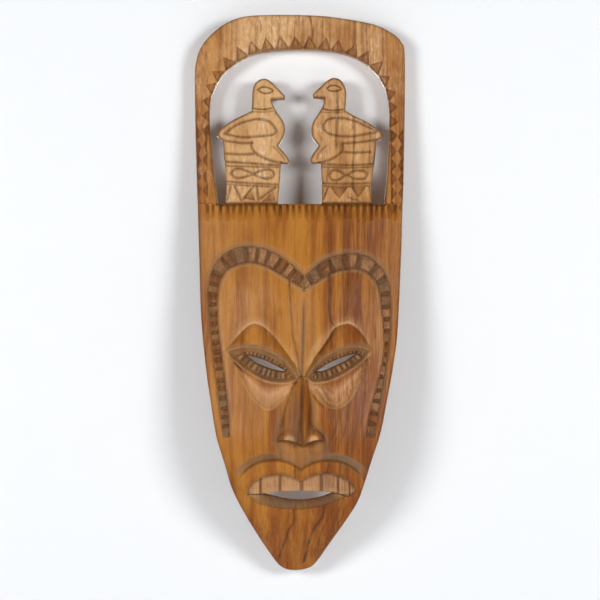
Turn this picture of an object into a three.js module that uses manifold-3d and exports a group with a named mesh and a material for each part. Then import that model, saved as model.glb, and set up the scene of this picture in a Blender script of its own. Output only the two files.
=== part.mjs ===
// Carved wooden mask: a long face under an open hoop that holds two facing birds on plinths.
// Millimetres. X runs from the centre line to the mask's own left as seen from the front, +Z is up,
// and the face looks along -Y. The mask hangs on a nail under its hoop, and the origin is there.
//
// The mask is carved from one board. Each carved zone is a solid of its own, and neighbours are
// KERF apart along the carved line between them.
import * as THREE from 'three';
import { mergeVertices } from 'three/addons/utils/BufferGeometryUtils.js';
import Module from 'manifold-3d';

// ---- driving dimensions ----
const HEIGHT = 294.5;          // chin tip to the top of the hoop
const KERF = 0.3;              // gap between neighbouring zones
const NAIL_SEAT_HEIGHT = 276.8; // of the flat under the hoop, above the chin tip
const NAIL_SEAT_HALF = 8;      // half its width
const NAIL_SEAT_OUT = 7;       // where the nail bears, out from the wall
const LEDGE = 194;             // top of the panel that carries the birds
const RAIL_TOP = 252;          // where the hoop's rails meet its arch
const MARGIN_TOP = 150;        // where the side margins meet the panel
const BEAD_RECESS = 2;         // the bead bands lie this far below the face
const CENTRE = 1.5;            // x of the crease between the two halves of the face
const GRID = 8;                // step of the curved surfaces
const CLEAR = 3;               // how far a cutting body runs past what it cuts
const TEETH_MIDDLE = 47;       // a height within the row of teeth

// Height of the outer edge above the wall, as [z, height]: bowed, highest at the cheeks.
const EDGE = [[0, 9], [10, 15.5], [25, 25], [40, 31], [55, 34.5], [70, 35.5], [89, 33], [121, 27],
  [153, 22], [185, 17.5], [217, 13.5], [249, 10], [HEIGHT, 9]];
// How much higher the centre line is than the edge, as [z, rise].
const CROWN = [[0, 2], [25, 5], [70, 9], [110, 10.5], [150, 10], [185, 7.5], [217, 6], [HEIGHT, 6]];
// Half width of the mask, as [z, half width].
const HALF = [[0, 15], [20, 25], [40, 36], [72, 45], [110, 50], [150, 53], [200, 55.5], [HEIGHT, 56.5]];
// Thickness of the hollowed shell, as [z, thickness]. The hoop and the chin are left thicker than
// they stand off the wall, so their backs are cut flat on it.
const THICKNESS = [[0, 18], [8, 18], [30, 9.5], [250, 9.5], [283, 16], [HEIGHT, 16]];

// ---- outlines, as [x, z] points; each run is a smooth curve and runs meet at corners ----
const MASK = [
  [[31.5, 40.5], [37, 59], [42, 74.5], [45.2, 90], [49, 110], [51.3, 128], [53.2, 164], [54.8, 207],
    [55.6, 240], [55.8, 273], [54, 280.5], [48.5, 285.5], [38, 290], [16, 293.5], [0, HEIGHT],
    [-15, HEIGHT], [-29, 293.8], [-38.5, 290.8], [-46, 285.6], [-52, 279], [-55, 271.5], [-56, 260],
    [-55.2, 223], [-53.3, 170], [-52, 135], [-49.3, 108], [-46.5, 89.5], [-43.7, 73], [-39, 58],
    [-33.8, 39.5]],
  [[-33.8, 39.5], [-21.3, 18], [-12.8, 4.8], [-8, 0.8], [-2, 0], [4.8, 1.3], [9, 5], [15.5, 15],
    [24, 27.8], [31.5, 40.5]],
];
const WINDOW = [
  [[-NAIL_SEAT_HALF, NAIL_SEAT_HEIGHT], [-21, 275.4], [-29.2, 272.5], [-36, 268], [-41.5, 263],
    [-45.2, 256.7], [-47.3, 251.3], [-48.1, 244.4], [-47.8, 233.6], [-45.7, 212], [-44.2, 200],
    [-43.6, LEDGE]],
  [[-43.6, LEDGE], [44.6, LEDGE]],
  [[44.6, LEDGE], [46.1, 207.7], [47.5, 233.6], [47.5, 245.5], [46, 254], [43, 260.7], [38.3, 266.5],
    [30.8, 271.7], [21.2, 275.1], [NAIL_SEAT_HALF, NAIL_SEAT_HEIGHT]],
  [[NAIL_SEAT_HALF, NAIL_SEAT_HEIGHT], [-NAIL_SEAT_HALF, NAIL_SEAT_HEIGHT]],
];
// The bird faces +X; the other one is its near mirror image.
const BIRD_LEFT = [
  [[-8, 251.5], [-12, 255.8], [-15.6, 259.3], [-19, 260.7], [-22.8, 259.2], [-24.9, 255.6],
    [-25.3, 250.5], [-25.6, 243.5]],
  [[-25.6, 243.5], [-35.5, 238.7], [-41.7, 234.3], [-44.4, 230.6]],
  [[-44.4, 230.6], [-41, 228.1]],
  [[-41, 228.1], [-40, 215.8]],
  [[-40, 215.8], [-10, 215.8]],
  [[-10, 215.8], [-6.4, 215.6], [-6.2, 218.2], [-11.6, 225]],
  [[-11.6, 225], [-8.8, 229.5], [-7.9, 233.6], [-9, 238], [-12.4, 243.1], [-14.6, 247.6],
    [-14.8, 249.7]],
  [[-14.8, 249.7], [-8.2, 249.9]],
  [[-8.2, 249.9], [-8, 251.5]],
];
const BIRD_RIGHT = [
  [[6.7, 252.4], [10.9, 256.3], [14.3, 259.5], [18, 261.1], [21.7, 259.7], [24.2, 255.3],
    [24.5, 250.5], [23.9, 243.9]],
  [[23.9, 243.9], [28.4, 241.2], [36.9, 236.9], [42.8, 232.4], [44, 229.7]],
  [[44, 229.7], [40.6, 228]],
  [[40.6, 228], [39.4, 215.8]],
  [[39.4, 215.8], [11, 215.8]],
  [[11, 215.8], [6, 215.8], [6, 219], [9.9, 224.9]],
  [[9.9, 224.9], [6.8, 229.3], [6, 233.6], [6.9, 237.6], [9.5, 241.8], [12.1, 246.2], [12.8, 250.3]],
  [[12.8, 250.3], [7, 250.7]],
  [[7, 250.7], [6.7, 252.4]],
];
const PLINTH_LEFT = [
  [[-40, 215.8], [-39, 204], [-39.4, LEDGE]],
  [[-39.4, LEDGE], [-11.7, LEDGE]],
  [[-11.7, LEDGE], [-10.8, 204], [-10, 215.8]],
  [[-10, 215.8], [-40, 215.8]],
];
const PLINTH_RIGHT = [
  [[11, 215.8], [11.5, 204], [11.5, LEDGE]],
  [[11.5, LEDGE], [38, LEDGE]],
  [[38, LEDGE], [37.8, 204], [39.4, 215.8]],
  [[39.4, 215.8], [11, 215.8]],
];
const BAND_FOOT = 71.5;        // lower end of both bead bands
const NOTCH_OUTER = [2.3, 156]; // where the bands' outer edges meet
const NOTCH_INNER = [2.1, 148.5];
const BAND_LEFT_OUTER = [NOTCH_OUTER, [-5.2, 162.8], [-12, 167.5], [-19.7, 170.6], [-28, 171.7],
  [-36, 169.9], [-42.2, 165.5], [-46.4, 159], [-48.2, 151.7], [-48.3, 140], [-46, 117.7],
  [-43, 95], [-41.5, 84], [-40.5, BAND_FOOT]];
const BAND_LEFT_INNER = [[-36.2, BAND_FOOT], [-36.8, 81.5], [-39.1, 103.8], [-42.2, 126], [-43, 137.3],
  [-42.9, 144.4], [-41.8, 152.2], [-38.5, 158.4], [-33, 161.6], [-25.8, 162.9], [-17.7, 160.8],
  [-10.3, 156.7], NOTCH_INNER];
const BAND_RIGHT_OUTER = [NOTCH_OUTER, [6.2, 159.2], [12, 163.9], [19.3, 166.8], [26.7, 167.9],
  [34, 166.9], [40, 163.2], [45, 157], [47.2, 149.5], [47.8, 141], [47, 120.5], [44.2, 103.7],
  [41.4, 87], [39.3, BAND_FOOT]];
const BAND_RIGHT_INNER = [[33.6, BAND_FOOT], [35.5, 82.5], [39.7, 98.2], [43.6, 115], [43.4, 131],
  [42.5, 138.7], [41.8, 146.5], [39.2, 153.3], [34.3, 157.8], [28.8, 159.5], [22.8, 159.1],
  [15.7, 156.8], [8.4, 152.5], NOTCH_INNER];
const EYE_LEFT = [
  [[-39, 117.2], [-32.4, 118.8], [-23.5, 119.1], [-14.5, 116.2], [-7.2, 111.5], [-2.8, 106],
    [-0.8, 102.2]],
  [[-0.8, 102.2], [-7.2, 100.4], [-14.5, 100.6], [-20.4, 102.3], [-26.4, 105.5], [-32.4, 109.9],
    [-36.7, 113.5], [-39, 117.2]],
];
const EYE_RIGHT = [
  [[37.5, 117.2], [32.9, 111.8], [27, 107.3], [19.5, 103.1], [12, 100.7], [6.7, 100.7], [2.8, 103.2]],
  [[2.8, 103.2], [7.2, 108.8], [12.8, 113.6], [19.5, 117.1], [27, 119.1], [33, 118.9], [37.5, 117.2]],
];
const SLIT_LEFT = [
  [[-28, 114.4], [-23.5, 113.6], [-17.5, 111.5], [-11.6, 108.6], [-7.4, 106.2]],
  [[-7.4, 106.2], [-11.6, 106.7], [-17.5, 108.4], [-23.4, 111], [-28, 114.4]],
];
const SLIT_RIGHT = [
  [[8.6, 106.2], [12.3, 106.5], [18, 109], [24, 111.8], [29.2, 115.4]],
  [[29.2, 115.4], [25.7, 114.6], [21, 113], [15, 110.4], [8.6, 106.2]],
];
const NOSE = [
  [[1, 103.9], [-2, 100.6], [-4.4, 97.3], [-6.3, 92.2], [-8.3, 86], [-10, 79.6], [-11.4, 73.4],
    [-11.6, 70]],
  [[-11.6, 70], [-5.6, 70.2], [-1.3, 68.8], [1.5, 67.6], [4.3, 69], [8.2, 70.2], [12.8, 70]],
  [[12.8, 70], [11.5, 73.7], [8.2, 76.8], [5.9, 80], [5.9, 86], [5.5, 92], [4.6, 98.2], [3.1, 101.9],
    [1, 103.9]],
];
const LIP_TOP = [[-33, 47.5], [-31, 52], [-28, 55.5], [-22, 59.3], [-15.4, 60.9], [-9, 60.6],
  [-4, 58.9], [0.5, 56]];
const LIP_TOP_RIGHT = [[0.5, 56], [5, 58.9], [11.3, 60.6], [17.8, 60.5], [23.6, 58.9], [29, 55.4],
  [32.8, 50.5], [33.4, 47.5]];
const MOUTH_RIGHT = [30, 44];
const MOUTH_LEFT = [-27.6, 42];
const TEETH_TOP = [MOUTH_LEFT, [-27.2, 45.2], [-24.9, 48.4], [-20.6, 51], [-16.2, 52.4], [-10.4, 53.1],
  [-4.6, 52], [0.5, 49.8]];
const TEETH_TOP_RIGHT = [[0.5, 49.8], [5.1, 52], [10.6, 53.4], [15.7, 53.5], [20.7, 51.8],
  [26.2, 49.1], MOUTH_RIGHT];
const TEETH_FOOT = [MOUTH_RIGHT, [25, 41.2], [19.4, 42.7], [11.4, 43.9], [-0.5, 44.3], [-10.4, 43.9],
  [-20.8, 42.3], MOUTH_LEFT];
const MOUTH_FOOT = [[-19.5, 42.4], [-13, 41], [-6.8, 39.6], [-0.5, 39.1], [5.2, 39.5], [11.5, 40.8],
  [17.5, 43.1]];
const CHIN_EDGE = [[26.5, 41.2], [19.3, 38.9], [12, 36.3], [3.3, 34.7], [-5.3, 34.5], [-14, 35.4],
  [-22.7, 37.7], MOUTH_LEFT];

// ---- shapes ----
const wasm = await Module();
wasm.setup();

function valueAt(knots, at) {
  const z = THREE.MathUtils.clamp(at, knots[0][0], knots.at(-1)[0]);
  const i = Math.max(1, knots.findIndex((knot) => knot[0] >= z));
  const [z0, v0] = knots[i - 1];
  const [z1, v1] = knots[i];
  return v0 + (v1 - v0) * (z - z0) / (z1 - z0);
}

function outline(runs, steps = 2) {
  const points = [];
  for (const run of runs) {
    const curve = new THREE.SplineCurve(run.map(([x, z]) => new THREE.Vector2(x, z)));
    const count = run.length === 2 ? 1 : (run.length - 1) * steps;
    points.push(...curve.getPoints(count).slice(0, -1));
  }
  return points;
}

// The same outline, grown by a distance on every side.
function grown(points, distance) {
  const turn = THREE.ShapeUtils.area(points) > 0 ? 1 : -1;
  return points.map((point, i) => {
    const before = points[(i + points.length - 1) % points.length];
    const after = points[(i + 1) % points.length];
    const a = new THREE.Vector2().subVectors(point, before).normalize();
    const b = new THREE.Vector2().subVectors(after, point).normalize();
    const normal = new THREE.Vector2(a.y + b.y, -a.x - b.x);
    const reach = Math.max(0.3, 1 + a.dot(b));
    return point.clone().addScaledVector(normal, turn * distance / reach);
  });
}

function toManifold(geometry) {
  geometry.deleteAttribute('normal');
  geometry.deleteAttribute('uv');
  const merged = mergeVertices(geometry, 1e-5);
  return new wasm.Manifold(new wasm.Mesh({
    numProp: 3,
    vertProperties: Float32Array.from(merged.attributes.position.array),
    triVerts: Uint32Array.from(merged.index.array),
  }));
}

// A body of the outline's section that runs from behind the wall to in front of the face.
function prism(points) {
  const from = -20;
  const to = 80;
  const geometry = new THREE.ExtrudeGeometry(new THREE.Shape(points), {
    depth: to - from,
    bevelEnabled: false,
  });
  geometry.translate(0, 0, from);
  geometry.rotateX(Math.PI / 2);
  return toManifold(geometry);
}

function baseHeight(x, z) {
  const side = Math.min(1, Math.abs(x) / valueAt(HALF, z));
  return valueAt(EDGE, z) + valueAt(CROWN, z) * (1 - side * side);
}

function backHeight(x, z) {
  return Math.max(0, baseHeight(x, z) - valueAt(THICKNESS, z));
}

function gridLines(low, high) {
  const count = Math.ceil((high - low) / GRID);
  return Array.from({ length: count + 1 }, (_, i) => low + (high - low) * i / count);
}

// The carved board over the outline's box: a curved front with this relief, and a bowed back.
function board(points, relief) {
  const box = new THREE.Box2().setFromPoints(points);
  const xs = gridLines(box.min.x - CLEAR, box.max.x + CLEAR);
  const zs = gridLines(box.min.y - CLEAR, box.max.y + CLEAR);
  const positions = [];
  const index = [];
  for (const front of [true, false]) {
    for (const z of zs) {
      for (const x of xs) {
        const height = front ? baseHeight(x, z) + relief(x, z) : backHeight(x, z);
        positions.push(x, -height, z);
      }
    }
  }
  const wide = xs.length;
  const layer = wide * zs.length;
  const quad = (a, b, c, d) => index.push(a, b, c, a, c, d);
  for (let j = 0; j < zs.length - 1; j++) {
    for (let i = 0; i < wide - 1; i++) {
      const a = j * wide + i;
      quad(a, a + 1, a + wide + 1, a + wide);
      quad(layer + a, layer + a + wide, layer + a + wide + 1, layer + a + 1);
    }
  }
  for (let i = 0; i < wide - 1; i++) {
    const top = (zs.length - 1) * wide + i;
    quad(i, layer + i, layer + i + 1, i + 1);
    quad(top, top + 1, layer + top + 1, layer + top);
  }
  for (let j = 0; j < zs.length - 1; j++) {
    const left = j * wide;
    const right = left + wide - 1;
    quad(left, left + wide, layer + left + wide, layer + left);
    quad(right, layer + right, layer + right + wide, right + wide);
  }
  const geometry = new THREE.BufferGeometry();
  geometry.setAttribute('position', new THREE.Float32BufferAttribute(positions, 3));
  geometry.setIndex(index);
  return toManifold(geometry);
}

function rectangle(x0, x1, z0, z1) {
  return [[x0, z0], [x1, z0], [x1, z1], [x0, z1]].map(([x, z]) => new THREE.Vector2(x, z));
}

// ---- relief of the carved zones above the mask's curved surface ----
const flat = (height) => () => height;

function noseRelief(x, z) {
  const tip = 69;
  const bridge = 104;
  const along = THREE.MathUtils.clamp((bridge - z) / (bridge - tip), 0, 1);
  const ridge = 1.5 + 5 * along;
  const fall = 0.55 * Math.abs(x - 1);
  return Math.max(-1.5, ridge - fall);
}

// The brows slope back from a ridge to the eyes.
function browRelief(x, z) {
  const ridgeX = x < CENTRE ? -22 : 25;
  const ridge = 131 - 0.021 * (x - ridgeX) ** 2;
  return -THREE.MathUtils.clamp((ridge - z) * 0.35, 0, 4.5);
}

// The cheeks are scooped out under the eyes.
function cheekRelief(x, z) {
  const scoopX = x < CENTRE ? -18 : 19;
  const reach = Math.hypot((x - scoopX) / 20, (z - 104) / 18);
  return -3.5 * Math.max(0, 1 - reach * reach);
}

// ---- zones, each cut out of what the ones before it leave ----
const mask = new THREE.Group();
mask.position.set(0, NAIL_SEAT_OUT, -NAIL_SEAT_HEIGHT);
let taken = wasm.Manifold.union([prism(outline(SLIT_LEFT)), prism(outline(SLIT_RIGHT))]);

function zone(name, colour, points, relief, within) {
  const carved = board(points, relief).intersect(prism(points)).intersect(within).subtract(taken);
  const largest = carved.decompose().sort((a, b) => b.volume() - a.volume())[0];
  const result = largest.getMesh();
  const geometry = new THREE.BufferGeometry();
  geometry.setAttribute('position', new THREE.BufferAttribute(result.vertProperties, 3));
  geometry.setIndex(new THREE.BufferAttribute(result.triVerts, 1));
  geometry.computeVertexNormals();
  const material = new THREE.MeshStandardMaterial({ color: colour, roughness: 0.55, metalness: 0 });
  const mesh = new THREE.Mesh(geometry, material);
  mesh.name = name;
  mask.add(mesh);
  taken = taken.add(prism(grown(points, KERF)).intersect(within));
}

const GOLDEN = 0xad743a;
const PALE = 0xb88e63;
const RUSSET = 0x96633a;
const DUSTY = 0x7d563c;

const FAR = 70; // past the mask's edge on either side
const maskBody = prism(outline(MASK));

// The mouth: a row of teeth over a hole, with a lip above and a bevelled lip below.
const mouthRight = MOUTH_FOOT.at(-1);
const mouthLeft = MOUTH_FOOT[0];
zone('teeth', DUSTY, outline([TEETH_TOP, TEETH_TOP_RIGHT, TEETH_FOOT]), flat(-1.5), maskBody);
taken = taken.add(prism(outline([
  MOUTH_FOOT,
  [mouthRight, [mouthRight[0], TEETH_MIDDLE]],
  [[mouthRight[0], TEETH_MIDDLE], [mouthLeft[0], TEETH_MIDDLE]],
  [[mouthLeft[0], TEETH_MIDDLE], mouthLeft],
])));
zone('lower_lip', DUSTY, outline([
  [MOUTH_LEFT, mouthLeft],
  MOUTH_FOOT,
  [mouthRight, CHIN_EDGE[0]],
  CHIN_EDGE,
]), flat(-2.5), maskBody);
zone('upper_lip', GOLDEN, outline([
  LIP_TOP,
  LIP_TOP_RIGHT,
  [LIP_TOP_RIGHT.at(-1), MOUTH_RIGHT],
  [...TEETH_TOP_RIGHT].reverse(),
  [...TEETH_TOP].reverse(),
  [MOUTH_LEFT, LIP_TOP[0]],
]), flat(1.5), maskBody);

// The nose, the eyes and the bead bands round the face.
zone('nose', RUSSET, outline(NOSE), noseRelief, maskBody);
zone('eye_left', DUSTY, outline(EYE_LEFT), flat(-3.5), maskBody);
zone('eye_right', DUSTY, outline(EYE_RIGHT), flat(-3.5), maskBody);
zone('bead_band_left', DUSTY, outline([
  BAND_LEFT_OUTER,
  [BAND_LEFT_OUTER.at(-1), BAND_LEFT_INNER[0]],
  BAND_LEFT_INNER,
  [NOTCH_INNER, NOTCH_OUTER],
]), flat(-BEAD_RECESS), maskBody);
zone('bead_band_right', DUSTY, outline([
  BAND_RIGHT_OUTER,
  [BAND_RIGHT_OUTER.at(-1), BAND_RIGHT_INNER[0]],
  BAND_RIGHT_INNER,
  [NOTCH_INNER, NOTCH_OUTER],
]), flat(-BEAD_RECESS), maskBody);

// The face inside the bands: brows above the eyes, cheeks below them and the chin under the mouth.
const faceOutline = outline([
  BAND_LEFT_INNER,
  [...BAND_RIGHT_INNER].reverse(),
  [BAND_RIGHT_INNER[0], [FAR, BAND_FOOT]],
  [[FAR, BAND_FOOT], [FAR, -CLEAR]],
  [[FAR, -CLEAR], [-FAR, -CLEAR]],
  [[-FAR, -CLEAR], [-FAR, BAND_FOOT]],
  [[-FAR, BAND_FOOT], BAND_LEFT_INNER[0]],
]);
const face = prism(faceOutline).intersect(maskBody);
const EYE_CORNER = 117.2; // height of the eyes' outer corners
const EYE_MIDDLE = 109;
const EYE_INNER = 103;    // and of the inner ones, at the top of the nose
zone('chin', RUSSET, outline([
  [[-FAR, -CLEAR], [FAR, -CLEAR]],
  [[FAR, -CLEAR], [FAR, CHIN_EDGE[0][1]]],
  [[FAR, CHIN_EDGE[0][1]], CHIN_EDGE[0]],
  CHIN_EDGE,
  [MOUTH_LEFT, [-FAR, MOUTH_LEFT[1]]],
  [[-FAR, MOUTH_LEFT[1]], [-FAR, -CLEAR]],
]), flat(0), face);
for (const [side, word] of [[-1, 'left'], [1, 'right']]) {
  const eyeLine = [
    [CENTRE, EYE_INNER],
    [side * 20, EYE_MIDDLE],
    [side * 37.5, EYE_CORNER],
    [side * FAR, EYE_CORNER],
  ];
  const territory = (end) => [...eyeLine, [side * FAR, end], [CENTRE, end]]
    .map(([x, z]) => new THREE.Vector2(x, z));
  zone(`cheek_${word}`, GOLDEN, territory(0), cheekRelief, face);
  zone(`brow_${word}`, GOLDEN, territory(LEDGE), browRelief, face);
}
taken = taken.add(prism(grown(faceOutline, KERF)));

// The rest of the board: side margins, the panel under the birds, the birds and the hoop.
zone('margin_left', GOLDEN, rectangle(-FAR, 0, BAND_FOOT, MARGIN_TOP), flat(0), maskBody);
zone('margin_right', GOLDEN, rectangle(0, FAR, BAND_FOOT, MARGIN_TOP), flat(0), maskBody);
zone('crown_panel', GOLDEN, rectangle(-FAR, FAR, MARGIN_TOP, LEDGE), flat(0), maskBody);
zone('plinth_left', PALE, outline(PLINTH_LEFT), flat(-1), maskBody);
zone('plinth_right', PALE, outline(PLINTH_RIGHT), flat(-1), maskBody);
zone('bird_left', PALE, outline(BIRD_LEFT), flat(-0.5), maskBody);
zone('bird_right', PALE, outline(BIRD_RIGHT), flat(-0.5), maskBody);
taken = taken.add(prism(outline(WINDOW)));
zone('rail_left', PALE, rectangle(-FAR, 0, LEDGE, RAIL_TOP), flat(0), maskBody);
zone('rail_right', PALE, rectangle(0, FAR, LEDGE, RAIL_TOP), flat(0), maskBody);
zone('hoop_arch', PALE, rectangle(-FAR, FAR, RAIL_TOP, HEIGHT + CLEAR), flat(0), maskBody);

export default mask;
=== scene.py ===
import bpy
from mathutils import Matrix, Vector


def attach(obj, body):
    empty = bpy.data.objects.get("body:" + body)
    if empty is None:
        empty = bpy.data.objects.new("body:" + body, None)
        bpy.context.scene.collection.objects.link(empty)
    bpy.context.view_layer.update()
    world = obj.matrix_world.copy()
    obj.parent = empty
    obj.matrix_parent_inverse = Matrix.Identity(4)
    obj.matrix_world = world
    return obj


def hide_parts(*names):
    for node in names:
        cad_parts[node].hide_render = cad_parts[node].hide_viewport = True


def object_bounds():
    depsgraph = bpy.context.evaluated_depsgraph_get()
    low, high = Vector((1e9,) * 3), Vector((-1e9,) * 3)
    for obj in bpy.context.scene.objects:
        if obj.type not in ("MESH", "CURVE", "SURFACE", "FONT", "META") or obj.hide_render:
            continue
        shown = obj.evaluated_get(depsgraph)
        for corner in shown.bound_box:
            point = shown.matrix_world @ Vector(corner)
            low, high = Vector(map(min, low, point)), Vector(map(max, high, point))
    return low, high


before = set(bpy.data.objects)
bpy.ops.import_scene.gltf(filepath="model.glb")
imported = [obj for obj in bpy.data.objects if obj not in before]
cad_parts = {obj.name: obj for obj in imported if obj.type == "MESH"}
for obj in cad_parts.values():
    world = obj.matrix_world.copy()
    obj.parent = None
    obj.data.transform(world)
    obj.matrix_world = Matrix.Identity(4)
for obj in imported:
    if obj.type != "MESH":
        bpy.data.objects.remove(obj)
cad_box = [[float(v) for v in corner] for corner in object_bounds()]

import math

import bpy
import numpy as np
from mathutils import Vector
from mathutils.geometry import delaunay_2d_cdt

# The carved mask. It is drawn as the carver sees it, in millimetres: x from the centre line, z up from
# the chin tip and h out from the wall. place() puts such a point in the frame.
MM = 0.001
LOW_Z = cad_box[0][2]
WALL_Y = cad_box[1][1]
HEIGHT = (cad_box[1][2] - LOW_Z) / MM
STEP = 0.5              # spacing of the carved surface's points
CLEAR_OF_LINES = 0.22   # the free points keep this far from an outline
EDGE_RADIUS = 1.1       # rounding of the mask's outer edges
LEAST_THICKNESS = 2.5
GOUGE_WIDTH = 6.5       # of the scallops on the back
GOUGE_LENGTH = 19
SHARP_ANGLE = 42        # between faces that meet in a crisp edge, in degrees
LEDGE = 194.0           # the panel's top, where the plinths stand
RAIL_TOP = 252.0        # where the rails end in the hoop's arch
MARGIN_TOP = 150.0      # where the margins end in the panel
BAND_FOOT = 71.5        # the lower end of both bead bands
FAR = 70.0              # past the mask's sides
BELOW = -5              # past its chin
EYE_CORNER = 117.2      # height of the eyes' outer corners

# Height of the outer edge above the wall, rise of the centre line over it, half width, and thickness
# of the hollowed board, each as (z, value).
EDGE = [
    (0, 9), (10, 15.5), (25, 25), (40, 31), (55, 34.5), (70, 35.5), (89, 33), (121, 27), (153, 22),
    (185, 17.5), (217, 13.5), (249, 10), (HEIGHT, 9)]
CROWN = [(0, 2), (25, 5), (70, 9), (110, 10.5), (150, 10), (185, 7.5), (217, 6), (HEIGHT, 6)]
HALF = [(0, 15), (20, 25), (40, 36), (72, 45), (110, 50), (150, 53), (200, 55.5), (HEIGHT, 56.5)]
THICKNESS = [(0, 18), (8, 18), (30, 9.5), (250, 9.5), (283, 16), (HEIGHT, 16)]


# ---- lines and outlines ----
def spline(points, step=STEP):
    """Points every step along the smooth curve through these ones."""
    p = np.array(points, float)
    if len(p) > 2:
        ends = np.vstack([2 * p[0] - p[1], p, 2 * p[-1] - p[-2]])
        t = np.linspace(0, 1, 16, endpoint=False)[:, None]
        spans = []
        for a, b, c, d in zip(ends, ends[1:], ends[2:], ends[3:]):
            spans.append(b + 0.5 * t * (c - a + t * (2 * a - 5 * b + 4 * c - d
                                                     + t * (3 * (b - c) + d - a))))
        p = np.vstack(spans + [p[-1:]])
    reach = travelled(p)
    at = np.linspace(0, reach[-1], max(1, round(reach[-1] / step)) + 1)
    return np.column_stack([np.interp(at, reach, p[:, k]) for k in (0, 1)])


def travelled(line):
    """How far along the line each of its points is."""
    return np.concatenate([[0], np.cumsum(np.hypot(*np.diff(line, axis=0).T))])


def outline(*runs):
    """A closed outline of smooth runs, with straight lines across the gaps between them."""
    parts = []
    for run, following in zip(runs, runs[1:] + runs[:1]):
        if len(run) > 1:
            parts.append(spline(run)[:-1])
        if run[-1] != following[0]:
            parts.append(spline([run[-1], following[0]])[:-1])
    return np.vstack(parts)


def joined(*runs):
    """Runs that each start where the one before ends."""
    return [runs[0]] + [before[-1:] + run for before, run in zip(runs, runs[1:])]


def closed(line):
    return np.vstack([line, line[:1]])


NAIL_SEAT_HEIGHT = -LOW_Z / MM      # the frame's origin is on the nail seat
NAIL_SEAT_HALF = 8.0
MASK = outline(
    [(0, 294.4), (-15, 294.5), (-29, 293.8), (-38.5, 290.8), (-46, 285.6), (-52, 279), (-55, 271.5),
     (-56, 260), (-55.2, 223), (-53.3, 170), (-52, 135), (-49.3, 108), (-46.5, 89.5), (-43.7, 73),
     (-39, 57), (-36, 46.5), (-31.4, 36), (-21.3, 18), (-12.8, 4.8), (-8, 0.8), (-2, 0), (4.8, 1.3),
     (9, 5), (15.5, 15), (24, 27.8), (29.8, 37.4), (33.2, 46.5), (37, 59), (42, 74.5), (45.2, 90),
     (49, 110), (51.3, 128), (53.2, 164), (54.8, 207), (55.6, 240), (55.8, 273), (54, 280.5),
     (48.5, 285.5), (38, 290), (16, 293.5), (0, 294.4)])
WINDOW_LEFT = [
    (-NAIL_SEAT_HALF, NAIL_SEAT_HEIGHT), (-21, 275.4), (-29.2, 272.5), (-36, 268), (-41.5, 263),
    (-45.2, 256.7), (-47.3, 251.3), (-48.1, 244.4), (-47.8, 233.6), (-45.7, 212), (-44.2, 200),
    (-43.6, LEDGE)]
WINDOW_RIGHT = [
    (44.6, LEDGE), (46.1, 207.7), (47.5, 233.6), (47.5, 245.5), (46, 254), (43, 260.7), (38.3, 266.5),
    (30.8, 271.7), (21.2, 275.1), (NAIL_SEAT_HALF, NAIL_SEAT_HEIGHT)]
BIRD_LEFT_RUNS = joined(
    [(-8, 251.5), (-12, 255.8), (-15.6, 259.3), (-19, 260.7), (-22.8, 259.2), (-24.9, 255.6),
     (-25.3, 250.5), (-25.6, 243.5)],
    [(-35.5, 238.7), (-41.7, 234.3), (-44.4, 230.6)], [(-41, 228.1)], [(-40, 215.8)], [(-10, 215.8)],
    [(-6.4, 215.6), (-6.2, 218.2), (-11.6, 225)],
    [(-8.8, 229.5), (-7.9, 233.6), (-9, 238), (-12.4, 243.1), (-14.6, 247.6), (-14.8, 249.7)],
    [(-8.2, 249.9)], [(-8, 251.5)])
BIRD_RIGHT_RUNS = joined(
    [(6.7, 252.4), (10.9, 256.3), (14.3, 259.5), (18, 261.1), (21.7, 259.7), (24.2, 255.3),
     (24.5, 250.5), (23.9, 243.9)],
    [(28.4, 241.2), (36.9, 236.9), (42.8, 232.4), (44, 229.7)], [(40.6, 228)], [(39.4, 215.8)],
    [(11, 215.8)], [(6, 215.8), (6, 219), (9.9, 224.9)],
    [(6.8, 229.3), (6, 233.6), (6.9, 237.6), (9.5, 241.8), (12.1, 246.2), (12.8, 250.3)],
    [(7, 250.7)], [(6.7, 252.4)])
PLINTH_LEFT_SIDES = [
    [(-40, 215.8), (-39, 204), (-39.4, LEDGE)], [(-11.7, LEDGE), (-10.8, 204), (-10, 215.8)]]
PLINTH_RIGHT_SIDES = [
    [(11, 215.8), (11.5, 204), (11.5, LEDGE)], [(38, LEDGE), (37.8, 204), (39.4, 215.8)]]
NOTCH_OUTER = (2.3, 156)
NOTCH_INNER = (2.1, 148.5)
BAND_LEFT_OUTER = [
    NOTCH_OUTER, (-5.2, 162.8), (-12, 167.5), (-19.7, 170.6), (-28, 171.7), (-36, 169.9),
    (-42.2, 165.5), (-46.4, 159), (-48.2, 151.7), (-48.3, 140), (-46, 117.7), (-43, 95), (-41.5, 84),
    (-40.5, BAND_FOOT)]
BAND_LEFT_INNER = [
    (-36.2, BAND_FOOT), (-36.8, 81.5), (-39.1, 103.8), (-42.2, 126), (-43, 137.3), (-42.9, 144.4),
    (-41.8, 152.2), (-38.5, 158.4), (-33, 161.6), (-25.8, 162.9), (-17.7, 160.8), (-10.3, 156.7),
    NOTCH_INNER]
BAND_RIGHT_OUTER = [
    NOTCH_OUTER, (6.2, 159.2), (12, 163.9), (19.3, 166.8), (26.7, 167.9), (34, 166.9), (40, 163.2),
    (45, 157), (47.2, 149.5), (47.8, 141), (47, 120.5), (44.2, 103.7), (41.4, 87), (39.3, BAND_FOOT)]
BAND_RIGHT_INNER = [
    (33.6, BAND_FOOT), (35.5, 82.5), (39.7, 98.2), (43.6, 115), (43.4, 131), (42.5, 138.7),
    (41.8, 146.5), (39.2, 153.3), (34.3, 157.8), (28.8, 159.5), (22.8, 159.1), (15.7, 156.8),
    (8.4, 152.5), NOTCH_INNER]
EYE_LEFT_CORNER = (-39, EYE_CORNER)
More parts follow.
